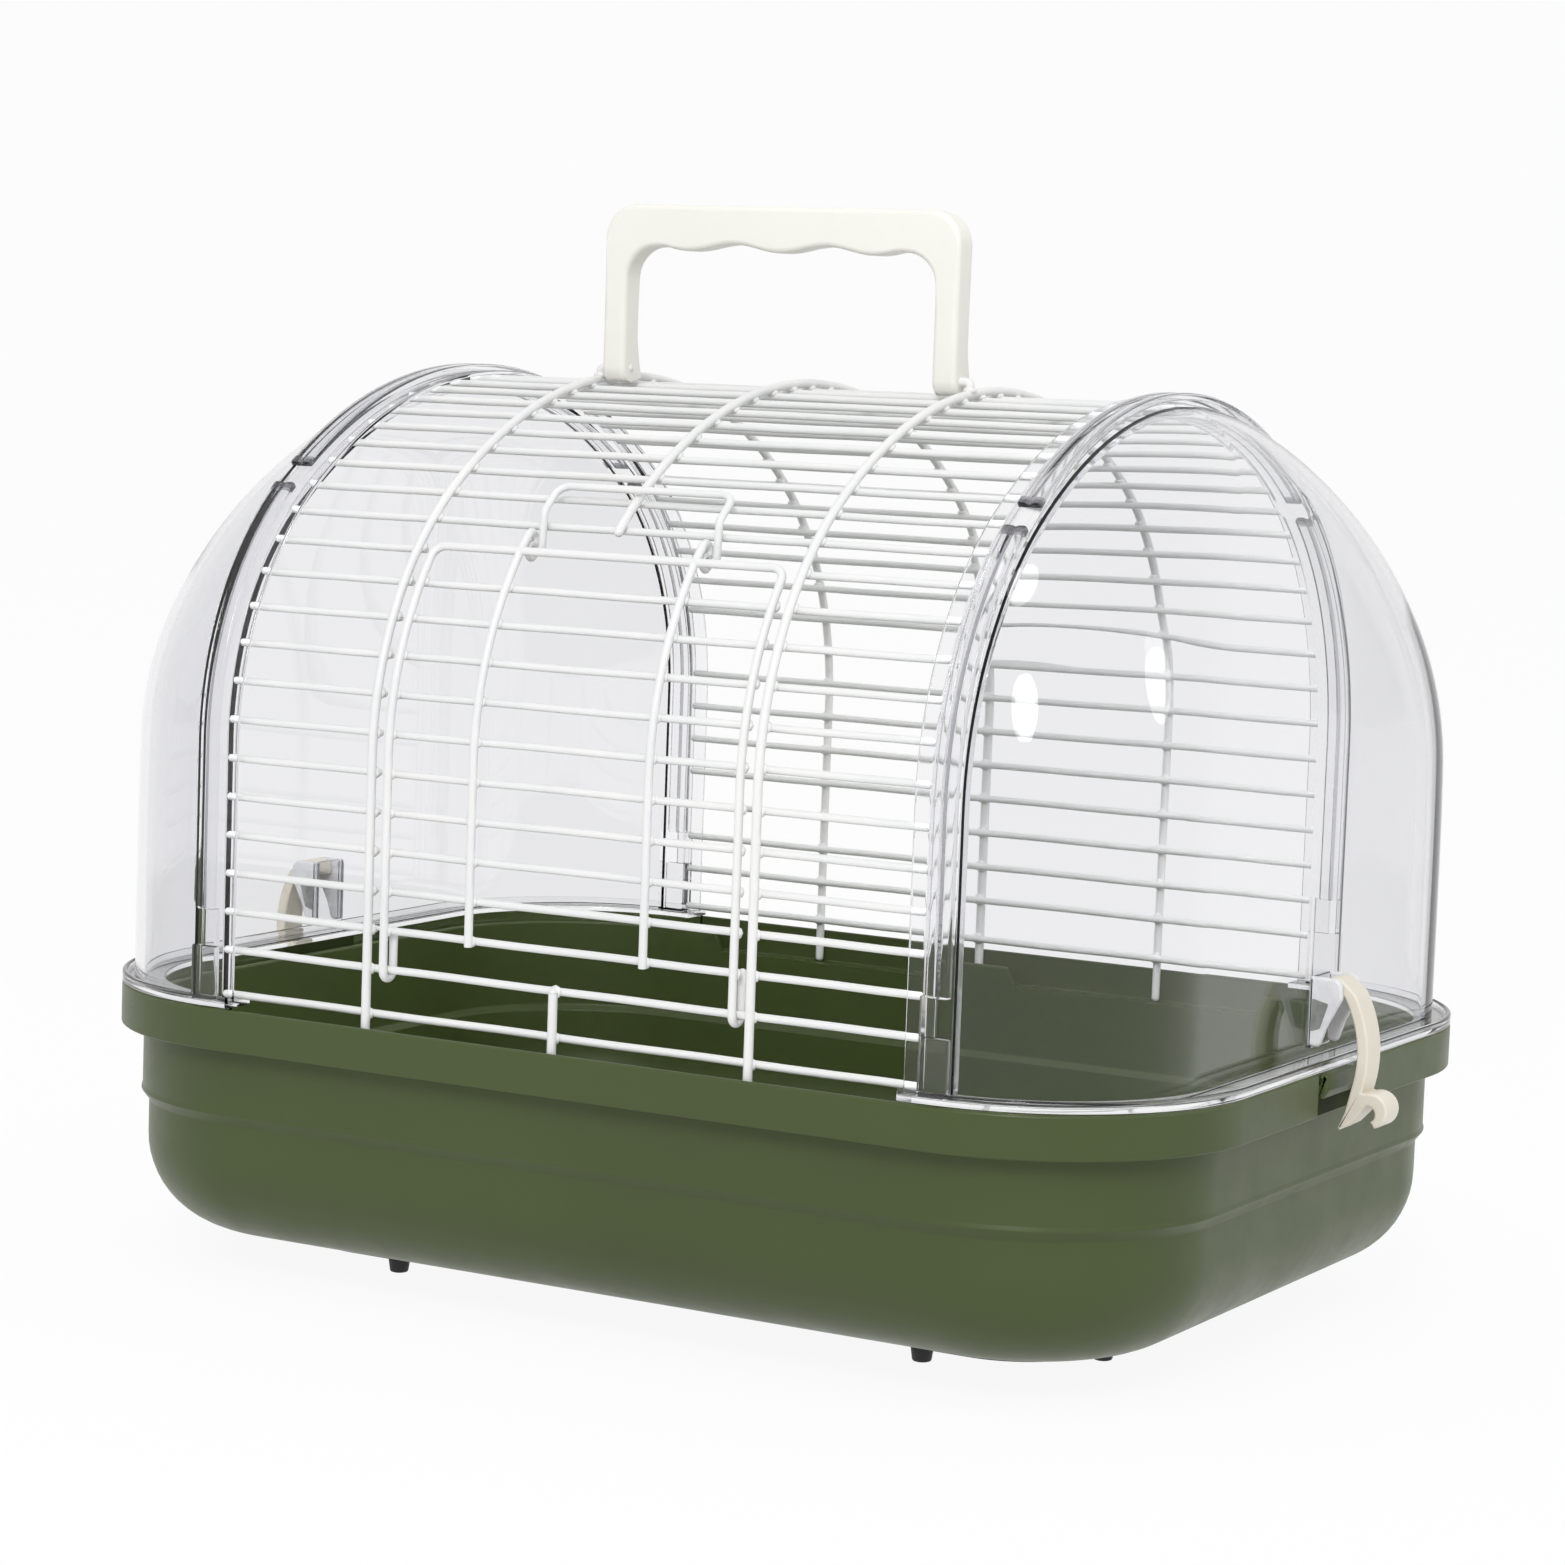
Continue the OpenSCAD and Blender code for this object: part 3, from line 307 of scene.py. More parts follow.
def front_point(s, off):
    """Point (y, z) on the arch's front half: a straight leg, the shoulder, then the flatter crown."""
    if s < LEG_LEN:
        return Vector((-(LEG_Y + off), HINGE_Z + s))
    if s < LEG_LEN + SHOULDER_LEN:
        a = (s - LEG_LEN) / SHOULDER_R
        r = SHOULDER_R + off
        return Vector((-(SHOULDER_Y + r * cos(a)), SHOULDER_Z + r * sin(a)))
    b = CROWN_A - (s - LEG_LEN - SHOULDER_LEN) / CROWN_R
    return Vector((-(CROWN_R + off) * sin(b), CROWN_Z + (CROWN_R + off) * cos(b)))


def arch(s, off=0.0):
    """Point (y, z) at distance s along the arch from the hinge wire, off outside the straight wires."""
    if s <= HALF:
        return front_point(s, off)
    p = front_point(2 * HALF - s, off)
    return Vector((-p.x, p.y))


def lean(s):
    """How far the arch leans from upright at s on the leg or the shoulder, in radians."""
    return 0 if s < LEG_LEN else (s - LEG_LEN) / SHOULDER_R


def at_x(x, p):
    return Vector((x, p.x, p.y))


def arch_steps(s0, s1, step=2.5):
    """Equal steps of about that length from s0 to s1."""
    n = max(2, int(abs(s1 - s0) / step))
    return [s0 + (s1 - s0) * i / n for i in range(n + 1)]


def arch_path(x, s0, s1, off, step=2.5):
    """Path of a wire that follows the arch at x."""
    return [at_x(x, arch(s, off)) for s in arch_steps(s0, s1, step)]


def arch_sweep(shape, outline, stations, cap_mark=0, dark_rings=(), dark_sides=()):
    """Sweeps an outline of (x, off) along the arch.

    Stations are (s, inset); the inset draws the outline in towards its middle, for softly rounded ends.
    """
    cx = sum(p[0] for p in outline) / len(outline)
    co = sum(p[1] for p in outline) / len(outline)
    rings = []
    for s, inset in stations:
        ring = []
        for x, off in outline:
            dx, do = x - cx, off - co
            size = max(abs(dx), abs(do), 0.01)
            share = 1 - min(inset, size) / size
            ring.append(at_x(cx + dx * share, arch(s, co + do * share)))
        rings.append(ring)
    shape.loft(rings, cap_mark=cap_mark, dark_rings=[k % (len(rings) - 1) for k in dark_rings],
               dark_sides=dark_sides)


def arch_half(z, off):
    """Half the width of the arch at height z, off outside the straight wires."""
    if z < SHOULDER_Z:
        return LEG_Y + off
    if z < CROWN_Z + (CROWN_R + off) * cos(CROWN_A):
        return SHOULDER_Y + sqrt(max(0.0, (SHOULDER_R + off) ** 2 - (z - SHOULDER_Z) ** 2))
    return sqrt(max(0.0, (CROWN_R + off) ** 2 - (z - CROWN_Z) ** 2))


# Materials

GRAIN_DEPTH, RIPPLE_DEPTH = 0.0004, 0.0006


def srgb(r, g, b):
    """Colour as it is seen, 0 to 255, turned into the linear values that a shader takes."""
    linear = [c / 255 / 12.92 if c < 10 else ((c / 255 + 0.055) / 1.055) ** 2.4 for c in (r, g, b)]
    return tuple(linear) + (1.0,)


def node_tree(name):
    material = bpy.data.materials.new(name)
    material.use_nodes = True
    tree = material.node_tree
    tree.nodes.clear()
    return material, tree


def add(tree, kind, **values):
    """New node; a value goes to the socket of its name, or else to the node's own setting."""
    node = tree.nodes.new(kind)
    for key, value in values.items():
        socket = node.inputs.get(key.replace("_", " "))
        if socket is None:
            setattr(node, key, value)
        else:
            socket.default_value = value
    return node


def noise(tree, where, scale, detail=3.0, roughness=0.5):
    """Noise with about that many waves in a metre."""
    node = add(tree, "ShaderNodeTexNoise", Scale=scale, Detail=detail, Roughness=roughness)
    tree.links.new(where, node.inputs["Vector"])
    return node.outputs["Fac"]


def spread(tree, value, low, high, out_low, out_high):
    """Maps the span from low to high onto that from out_low to out_high, without going past its ends."""
    node = add(tree, "ShaderNodeMapRange")
    tree.links.new(value, node.inputs["Value"])
    for key, number in (("From Min", low), ("From Max", high), ("To Min", out_low), ("To Max", out_high)):
        node.inputs[key].default_value = number
    return node.outputs["Result"]


def blend(tree, factor, a, b):
    """Mixes two colours, each written as a tuple or linked."""
    node = add(tree, "ShaderNodeMix", data_type="RGBA")
    tree.links.new(factor, node.inputs[0])
    for socket, value in ((node.inputs[6], a), (node.inputs[7], b)):
        if isinstance(value, tuple):
            socket.default_value = value
        else:
            tree.links.new(value, socket)
    return node.outputs[2]


def linked(tree, kind, sources, **values):
    """New node with the sources linked to its first inputs, in order; gives its first output."""
    node = add(tree, kind, **values)
    for k, source in enumerate(sources):
        tree.links.new(source, node.inputs[k])
    return node.outputs[0]


def surface(tree, shader, kind="ShaderNodeOutputMaterial"):
    """Links a shader to the output of a material or a world."""
    tree.links.new(shader, add(tree, kind).inputs["Surface"])


def object_place(tree):
    return add(tree, "ShaderNodeTexCoord").outputs["Object"]


def principled(tree, colour, roughness, height, strength, distance, **values):
    """Principled shader with linked colour and roughness, and bumps of that height."""
    bump = add(tree, "ShaderNodeBump", Strength=strength, Distance=distance)
    tree.links.new(height, bump.inputs["Height"])
    shader = add(tree, "ShaderNodeBsdfPrincipled", **values)
    sources = {"Base Color": colour, "Roughness": roughness, "Normal": bump.outputs["Normal"]}
    for name, source in sources.items():
        tree.links.new(source, shader.inputs[name])
    return shader.outputs[0]


def moulded(name, colour, shade, pale, rough, grain=900.0, bump=0.06, specks=True, waves=6.0,
            gloss_level=0.5):
    """Moulded plastic: fine grain, faint flow clouds, uneven gloss and, with specks, a few pale dots."""
    material, tree = node_tree(name)
    where = object_place(tree)
    clouds = spread(tree, noise(tree, where, waves, 4.0, 0.6), 0.35, 0.65, 0.0, 1.0)
    body = blend(tree, clouds, colour, shade)
    fine = noise(tree, where, grain, 2.0, 0.6)
    if specks:
        dots = add(tree, "ShaderNodeTexVoronoi", Scale=95.0)
        tree.links.new(where, dots.inputs["Vector"])
        near = spread(tree, dots.outputs["Distance"], 0.035, 0.02, 0.0, 1.0)
        some = spread(tree, noise(tree, where, 38.0, 1.0), 0.62, 0.66, 0.0, 0.55)
        body = blend(tree, linked(tree, "ShaderNodeMath", (near, some), operation="MULTIPLY"), body, pale)
    gloss = spread(tree, noise(tree, where, 55.0, 6.0, 0.7), 0.3, 0.75, rough, rough + 0.14)
    surface(tree, principled(tree, body, gloss, fine, bump, GRAIN_DEPTH, IOR=1.5,
                             Specular_IOR_Level=gloss_level))
    return material


def clear_plastic(name, tint, edge_tint, rough, haze, ripple, ripple_scale, edge_from=0.35, ior=1.46):
    """Clear moulded plastic whose tint changes where it is seen along its wall; lamps shine through it."""
    material, tree = node_tree(name)
    where = object_place(tree)
    facing = add(tree, "ShaderNodeLayerWeight", Blend=0.5).outputs["Facing"]
    colour = blend(tree, spread(tree, facing, edge_from, 1.0, 0.0, 1.0), tint, edge_tint)
    hazy = spread(tree, noise(tree, where, 30.0, 5.0, 0.7), 0.45, 0.8, rough, rough + haze)
    ripples = noise(tree, where, ripple_scale, 2.0, 0.5)
    shader = principled(tree, colour, hazy, ripples, ripple, RIPPLE_DEPTH, IOR=ior,
                        Transmission_Weight=1.0)
    shadow = add(tree, "ShaderNodeLightPath").outputs["Is Shadow Ray"]
    gone = add(tree, "ShaderNodeBsdfTransparent").outputs[0]
    surface(tree, linked(tree, "ShaderNodeMixShader", (shadow, shader, gone)))
    return material


GREEN = moulded("olive_plastic", srgb(71, 84, 44), srgb(66, 78, 40), srgb(170, 176, 144), 0.32, bump=0.005,
                gloss_level=0.34)
# Darker green on the catch pocket's rim faces and on the plate in it is painted shade for the recess, not
# another plastic.
PAINTED_SHADE_OLIVE = moulded("olive_recess_painted_shade", srgb(46, 56, 28), srgb(42, 51, 25), srgb(90, 96, 70), 0.6, bump=0.012,
               gloss_level=0.1)
WIRE = moulded("white_coated_wire", srgb(238, 238, 237), srgb(231, 232, 232), srgb(242, 242, 242), 0.28,
               grain=420.0, bump=0.10, specks=False, waves=30.0)
CREAM = moulded("cream_plastic", srgb(244, 243, 236), srgb(240, 239, 231), srgb(248, 248, 243), 0.38,
                grain=700.0, bump=0.06, specks=False, waves=14.0)
CLIP = moulded("clip_plastic", srgb(231, 224, 210), srgb(224, 217, 202), srgb(242, 239, 230), 0.32,
               grain=800.0, bump=0.08, specks=False, waves=30.0)
RUBBER = moulded("black_rubber", srgb(24, 24, 25), srgb(32, 32, 33), srgb(90, 90, 90), 0.55,
                 grain=1500.0, bump=0.25, specks=False, waves=40.0)
EAR = moulded("frosted_bracket", srgb(232, 232, 234), srgb(214, 214, 218), srgb(246, 246, 246), 0.22,
              grain=450.0, bump=0.3, specks=False, waves=160.0)
# Grey of the bracket's window is painted shade: it stands for the darker view through the clear bracket.
PAINTED_SHADE_WINDOW = moulded("bracket_window_painted_shade", srgb(156, 158, 156), srgb(124, 127, 124), srgb(205, 205, 205), 0.2,
               grain=450.0, bump=0.3, specks=False, waves=220.0)
SHELL = clear_plastic("clear_cover", srgb(238, 238, 240), srgb(251, 251, 252), rough=0.0, haze=0.008,
                      ripple=0.014, ripple_scale=9.0, edge_from=0.4, ior=1.35)
TRIM = clear_plastic("clear_trim", srgb(247, 247, 248), srgb(224, 224, 228), rough=0.02, haze=0.04,
                     ripple=0.03, ripple_scale=60.0, ior=1.32)
# Darker grey clear plastic on the clamp strips' cut ends and groove valleys: the grey tint is painted
# shade, its roughness and fine ripples are surface texture.
PAINTED_SHADE_CLEAR = clear_plastic("clear_cut_end_painted_shade", srgb(146, 146, 152), srgb(108, 108, 115), rough=0.25, haze=0.05,
                    ripple=0.3, ripple_scale=900.0, edge_from=0.1)


# Tray


def plan_stations():
    """Places round the tray's plan: base point, outward direction, side and distance from its middle."""
    stations = []
    xs, ys = [sorted({m for m in marks} | {-m for m in marks}) for marks in (LONG_MARKS, SHORT_MARKS)]
    sides = [([(x, -CORNER_Y) for x in xs], (0, -1), "long"),
             ([(CORNER_X, y) for y in ys], (1, 0), "short"),
             ([(x, CORNER_Y) for x in reversed(xs)], (0, 1), "long"),
             ([(-CORNER_X, y) for y in reversed(ys)], (-1, 0), "short")]
    for bases, out, kind in sides:
        for base in bases:
            stations.append((base, out, kind, abs(base[0] if kind == "long" else base[1])))
        a0 = atan2(out[1], out[0])
        stations += [(bases[-1], (cos(a0 + a), sin(a0 + a)), "corner", 0.0) for a in quarter(20)[1:-1]]
    return stations


def tray_outline():
    """Open section of the tray from the middle of its floor, over the rim and back under it."""
    top, belly = FLOOR_Z + WALL_T, FLOOR_Z + BELLY_R
    flat, bend = LOWER_R - BELLY_R, BELLY_R - WALL_T
    inner = [(0, top, 0), (flat, top, 0)]
    inner += [(flat + bend * sin(a), belly - bend * cos(a), 0) for a in quarter(12)[1:-1]]
    inner += [(LOWER_R - WALL_T, belly, 0), (LOWER_R - WALL_T, STEP_Z, 0.5),
              (INNER_R - INNER_T, STEP_Z + 1.6, 0.8),
              (INNER_R - INNER_T, CHANNEL_Z - 3, 0), (INNER_R - INNER_T, INNER_TOP, 0.7),
              (INNER_R, INNER_TOP, 0.7), (INNER_R, CHANNEL_Z, 0.5),
              (LIP_R, CHANNEL_Z, 0.6), (LIP_R, RIM_TOP, 0.45),
              (RIM_R, RIM_TOP, 1.15), (RIM_R, SKIRT_Z, 0.5),
              (WALL_R + 0.4, SKIRT_Z, 0.4), (WALL_R, SKIRT_Z - 1.2, 0.4), (WALL_R, STEP_Z + 3.2, 0.4),
              (WALL_R + 0.35, STEP_Z + 2.0, 0.5), (LOWER_R, STEP_Z - 0.8, 1.2), (LOWER_R, belly, 0)]
    inner += [(flat + BELLY_R * cos(a), belly - BELLY_R * sin(a), 0) for a in quarter(14)[1:-1]]
    inner += [(flat, FLOOR_Z, 0), (0, FLOOR_Z, 0)]
    return rounded(inner, 3, closed=False)


def make_tray():
    shape = Shape()
    section = tray_outline()
    stations = plan_stations()
    is_rim = [r > LIP_R - RIM_ROOT and z > SKIRT_Z - 0.1 for r, z in section]
    in_pocket = [kind == "short" and along < POCKET_HALF for _, _, kind, along in stations]
    rings = []
    for (base, out, kind, along), pocket in zip(stations, in_pocket):
        low = kind == "long" and TAB_HALF < along < LOW_HALF
        ring = []
        for (r, z), rim in zip(section, is_rim):
            if low and z > CHANNEL_Z and INNER_R - INNER_T - 0.1 < r < INNER_R + 0.1:
                z = CHANNEL_Z + LOW_SHARE * (z - CHANNEL_Z)
            if pocket and rim:
                r -= POCKET_DEPTH
            ring.append(Vector((base[0] + out[0] * r, base[1] + out[1] * r, z)))
        rings.append(ring)
    n, m = len(section), len(rings)
    verts = [v for ring in rings for v in ring]
    faces, marks = [], []
    for k in range(m):
        a, b = k * n, (k + 1) % m * n
        faces += [[a + j, b + j, b + j + 1, a + j + 1] for j in range(n - 1)]
        # Rim faces inside the catch pocket take the second material, the painted shade.
        dark = in_pocket[k] or in_pocket[(k + 1) % m]
        marks += [int(dark and is_rim[j] and is_rim[j + 1]) for j in range(n - 1)]
    faces.append([k * n for k in range(m)])
    faces.append([k * n + n - 1 for k in range(m)])
    shape.add(verts, faces)
    shape.marks[:len(marks)] = marks
    x0, plate_half = RIM_X - POCKET_DEPTH, POCKET_HALF - 3
    for sx in (-1, 1):
        plate = rounded([(-plate_half, PLATE_Z, 1.5), (plate_half, PLATE_Z, 1.5),
                         (plate_half, PLATE_TOP, 0.4), (-plate_half, PLATE_TOP, 0.4)])
        # The plate's broad faces take the painted shade as well.
        slab(shape, plate, lambda u, v, w: Vector((sx * (x0 + 0.05 - w), u, v)), PLATE_T, 0.3, cap_mark=1)
        catch = rounded([(x0 - 0.4, CATCH_Z, 0.3), (RIM_X - CATCH_IN - 1.4, CATCH_Z, 0.5),
                         (RIM_X - CATCH_IN, CATCH_Z + 2.2, 1.2), (RIM_X - CATCH_IN, PLATE_TOP, 0.3),
                         (x0 - 0.4, PLATE_TOP, 0.3)], 5)
        slab(shape, catch, lambda u, v, w: Vector((sx * u, w - CATCH_HALF, v)), 2 * CATCH_HALF, 1.1, 4)
    build("tray_body", shape, "tray", ["tray"], [GREEN, PAINTED_SHADE_OLIVE], flats=True)


def make_feet():
    bend_x, bend_y = STRIP_X - STRIP_R, STRIP_Y - STRIP_R
    strip_z = FLOOR_Z - STRIP_H
    half = STRIP_W / 2
    peg = [(0.6, 0.0), (1.9, 0.0), (2.3, 0.15), (2.5, 0.5), (2.9, strip_z - 0.3), (3.0, strip_z + 0.4),
           (2.6, strip_z + 1.2)]
    outline = rounded([(-half, strip_z, 1.0), (half, strip_z, 1.0), (half, FLOOR_Z, 0.05),
                       (-half, FLOOR_Z, 0.05)])
    path = [((bend_x - STRIP_RUN, STRIP_Y), (0, 1)), ((bend_x, STRIP_Y), (0, 1))]
    path += [((bend_x + STRIP_R * sin(a), bend_y + STRIP_R * cos(a)), (sin(a), cos(a)))
             for a in quarter(16)[1:-1]]
    path += [((STRIP_X, bend_y), (1, 0)), ((STRIP_X, bend_y - STRIP_END_RUN), (1, 0))]
    ends = []
    for (base, out), back in ((path[0], Vector((-1, 0))), (path[-1], Vector((0, -1)))):
        ends.append([(Vector(base) + back * half * cos(radians(a)), out, sin(radians(a)))
                     for a in (6, 30, 60)])
    stops = ends[0] + [(Vector(b), o, 1.0) for b, o in path] + list(reversed(ends[1]))
    for name, sx, sy in (("front_left", -1, -1), ("front_right", 1, -1), ("back_left", -1, 1),
                         ("back_right", 1, 1)):
        shape = Shape()
        shape.loft([[Vector((sx * (b.x + o[0] * u * k), sy * (b.y + o[1] * u * k), z)) for u, z in outline]
                    for b, o, k in stops])
        for (px, py), _ in (path[0], path[-1]):
            turned_form(shape, peg, (sx * px, sy * py))
        build("corner_strip_" + name, shape, "tray", ["foot_strip_" + name], [RUBBER])


# Wires


def coated(node, shape, body="top"):
    """Builds a piece of white coated wire that stands for one CAD node."""
    build(node + "_coated", shape, body, [node], [WIRE])


def weld(shape, x, s, off, size=1.0):
    """Bead where a hoop or upright crosses a straight wire."""
    centre = at_x(x, arch(s, off))
    ahead = (at_x(x, arch(s + 0.5, off)) - at_x(x, arch(s - 0.5, off))).normalized()
    outward = Vector((1, 0, 0)).cross(ahead)
    wide, rise = WELD_R * size, WELD_RISE * size
    bead(shape, centre, Vector((wide, 0, 0)), ahead * wide, outward * rise)


def straight(shape, x0, x1, p):
    """Straight wire along X, very slightly wavy as drawn wire is."""
    n = max(2, int((x1 - x0) / 12))
    pts = []
    for i in range(n + 1):
        x = x0 + (x1 - x0) * i / n
        sway = 0.0 if i in (0, n) else 0.07 * sin(x * 0.11 + p.x * 0.7 + p.y * 1.3)
        pts.append(Vector((x, p.x + sway * 0.5, p.y + sway)))
    tube(shape, pts, WIRE_R, 12)


def full_wire(shape, s):
    """Wire from end to end, with a bead at each hoop; the door's opening has no middle hoop."""
    straight(shape, -WIRE_END, WIRE_END, arch(s))
    for x in (-HOOP_X, 0, HOOP_X):
        if x or not 0 < s <= HOOK_S:
            weld(shape, x, s, WIRE_R)


def make_wires():
    low, foot = WIRE_Z - HINGE_Z, HOOP_FOOT - HINGE_Z
    first, last = DOOR_STEP + 1, 2 * STEPS - DOOR_STEP
    groups = [("shoulder_wires_front", range(first, first + SHOULDER_WIRES), []),
              ("roof_wires", range(first + SHOULDER_WIRES, last - SHOULDER_WIRES), []),
              ("shoulder_wires_back", range(last - SHOULDER_WIRES, last), []),
              ("side_wires_back", range(last, 2 * STEPS + 1), [2 * HALF - low]),
              ("base_wires_front", [], [low, 0.0])]
    for node, levels, more in groups:
        shape = Shape()
        for s in [i * PITCH for i in levels] + more:
            full_wire(shape, s)
        coated(node, shape)
    for side, name in ((-1, "left"), (1, "right")):
        shape = Shape()
        ends = sorted((side * (HOOP_X - WELD_END), side * WIRE_END))
        for i in range(1, DOOR_STEP + 1):
            straight(shape, ends[0], ends[1], arch(i * PITCH))
            weld(shape, side * HOOP_X, i * PITCH, WIRE_R)
        coated("side_wires_front_" + name, shape)
    for node, x, start in (("hoop_left", -HOOP_X, foot), ("hoop_right", HOOP_X, foot),
                           ("hoop_middle", 0, HOOK_S - HOOP_TIP)):
        shape = Shape()
        tube(shape, arch_path(x, start, 2 * HALF - foot, HOOP_OFF), HOOP_R)
        coated(node, shape)
    shape = Shape()
    tube(shape, arch_path(0, foot, WIRE_R, HOOP_OFF, 1.0), HOOP_R, end=1.0)
    coated("hoop_stub", shape)


# Door, latch and handle pins


def circle_path(x, c, r, a0, a1, steps=14):
    """Arc about c in the plane of x, from angle a0 to a1 in degrees."""
    return [Vector((x, c.x + r * cos(a), c.y + r * sin(a))) for a in
            [radians(a0 + (a1 - a0) * k / steps) for k in range(steps + 1)]]


def corner_path(start, tip, end, r, steps=8):
    """The arc that rounds the corner at tip between two straight stretches."""
    pts = rounded([tuple(start) + (0,), tuple(tip) + (r,), tuple(end) + (0,)], steps, closed=False)
    return pts[1:-1]


def make_door():
    hinge = Vector((-LEG_Y, HINGE_Z))
    top_s = DOOR_STEP * PITCH
    bend_s = top_s - DOOR_BEND
    x = DOOR_HALF
    half = [Vector((-x, LOOP_R - LEG_Y, HINGE_Z + up)) for up in (LOOP_ARM, LOOP_ARM / 2)]
    half += circle_path(-x, hinge, LOOP_R, 360, 180)
    half += arch_path(-x, 4.0, bend_s, LOOP_R)[:-1]
    bend_from = at_x(-x, arch(bend_s, LOOP_R))
    upward = (bend_from - at_x(-x, arch(bend_s - 0.2, LOOP_R))).normalized()
    tip = bend_from + upward * DOOR_BEND
    half += corner_path(bend_from - upward * 2, tip, tip + Vector((2 * DOOR_BEND, 0, 0)), DOOR_BEND)
    path = half + [Vector((-p.x, p.y, p.z)) for p in reversed(half)]
    shape = Shape()
    tube(shape, path, FRAME_R)
    coated("door_frame", shape, "door")
    shape = Shape()
    reach = DOOR_HALF + WELD_END / 2
    for i in range(1, DOOR_STEP):
        straight(shape, -reach, reach, arch(i * PITCH, RAIL_OFF))
        for x in (-DOOR_HALF, -UPRIGHT_X, UPRIGHT_X, DOOR_HALF):
            weld(shape, x, i * PITCH, RAIL_OFF + WIRE_R, 0.95)
    for x in (-UPRIGHT_X, UPRIGHT_X):
        weld(shape, x, top_s - 0.2, LOOP_R, 0.9)
    coated("door_rails", shape, "door")
    shape = Shape()
    curl_s = HOOK_S - CURL_DROP
    curl_a = lean(curl_s)
    outward = Vector((-cos(curl_a), sin(curl_a)))
    along = Vector((sin(curl_a), cos(curl_a)))
    curl = arch(curl_s, LOOP_R - CURL_R)
    eye = curl - outward * CURL_R - along * EYE_R
    for x in (-UPRIGHT_X, UPRIGHT_X):
        path = arch_path(x, PITCH - WELD_END, curl_s, LOOP_R)[:-1]
        for k in range(13):
            a = pi * k / 12
            path.append(at_x(x, curl + outward * CURL_R * cos(a) + along * CURL_R * sin(a)))
        tube(shape, path, FRAME_R, end=0.2)
        ring = [at_x(x, eye + outward * EYE_R * c + along * EYE_R * s) for c, s in round_about(28)]
        tube(shape, ring, EYE_WIRE_R, 10, loop=True)
    coated("door_uprights", shape, "door")
    return eye


def make_latch(eye):
    knee_s = HOOK_S + 2
    bar_s = HOOK_S + PITCH
    bend_s = bar_s - LATCH_BEND
    knee = arch(knee_s, LATCH_OFF - KNEE_R)
    gap = knee - eye
    run = sqrt(gap.length ** 2 - KNEE_R ** 2)
    a = atan2(gap.y, gap.x) + atan2(KNEE_R, run)
    out = Vector((cos(a), sin(a)))
    axle = LATCH_SIDE + 2 * EYE_WIRE_R

    def leg(x, turn):
        """From the inner end of the axle up to where the top bar begins; turn is the bar's way."""
        pts = [at_x(x - axle, eye), at_x(x - axle / 2, eye)]
        pts += corner_path(at_x(x - axle, eye), at_x(x, eye), at_x(x, eye + out * 5), EYE_BEND, 5)
        pts += [at_x(x, eye + out * run * t) for t in (0.5, 0.8)]
        a0, a1 = a + pi / 2, pi - lean(knee_s)
        pts += [at_x(x, knee + KNEE_R * Vector((cos(b), sin(b)))) for b in
                [a0 + (a1 - a0) * k / 6 for k in range(7)]]
        low = at_x(x, arch(bend_s, LATCH_OFF))
        upward = (low - at_x(x, arch(bend_s - 0.2, LATCH_OFF))).normalized()
        pts += [at_x(x, arch(s, LATCH_OFF)) for s in (knee_s + 0.6, (knee_s + bend_s) / 2)]
        tip = low + upward * LATCH_BEND
        pts += corner_path(low - upward, tip, tip + Vector((turn * 2 * LATCH_BEND, 0, 0)), LATCH_BEND)
        return pts

    left, right = LATCH_SIDE - UPRIGHT_X, LATCH_SIDE + UPRIGHT_X
    shape = Shape()
    tube(shape, leg(left, 1) + list(reversed(leg(right, -1))), WIRE_R)
    build("latch_bail_coated", shape, "latch", ["door_latch"], [WIRE])


def make_handle_pins():
    shape = Shape()
    foot = CROWN_Z + sqrt((CROWN_R + HOOP_OFF) ** 2 - HANDLE_Y ** 2) + 0.6
    inner_x = LEG_X - LEG_W / 2 - 0.5
    for side in (-1, 1):
        x = side * HOOP_X
        tube(shape, rounded([(x, -HANDLE_Y, foot, 0), (x, -HANDLE_Y, PIN_Z, PIN_BEND),
                             (side * inner_x, -HANDLE_Y, PIN_Z, 0)], 6, closed=False), PIN_R)
        bead(shape, Vector((x, -HANDLE_Y, foot + 0.4)), Vector((1.9, 0, 0)), Vector((0, 1.9, 0)),
             Vector((0, 0, 1.1)))
    coated("handle_pins", shape)


# Carry handle


def grip_under(x):
    """Height of the grip's underside; its waves fade out towards the corners."""
    fade = min(1.0, max(0.0, (LEG_X - LEG_W / 2 - HANDLE_R - abs(x)) / 5.0))
    return GRIP_Z - GRIP_T - WAVE_D / 2 * fade * cos(2 * pi * x / WAVE_PITCH)


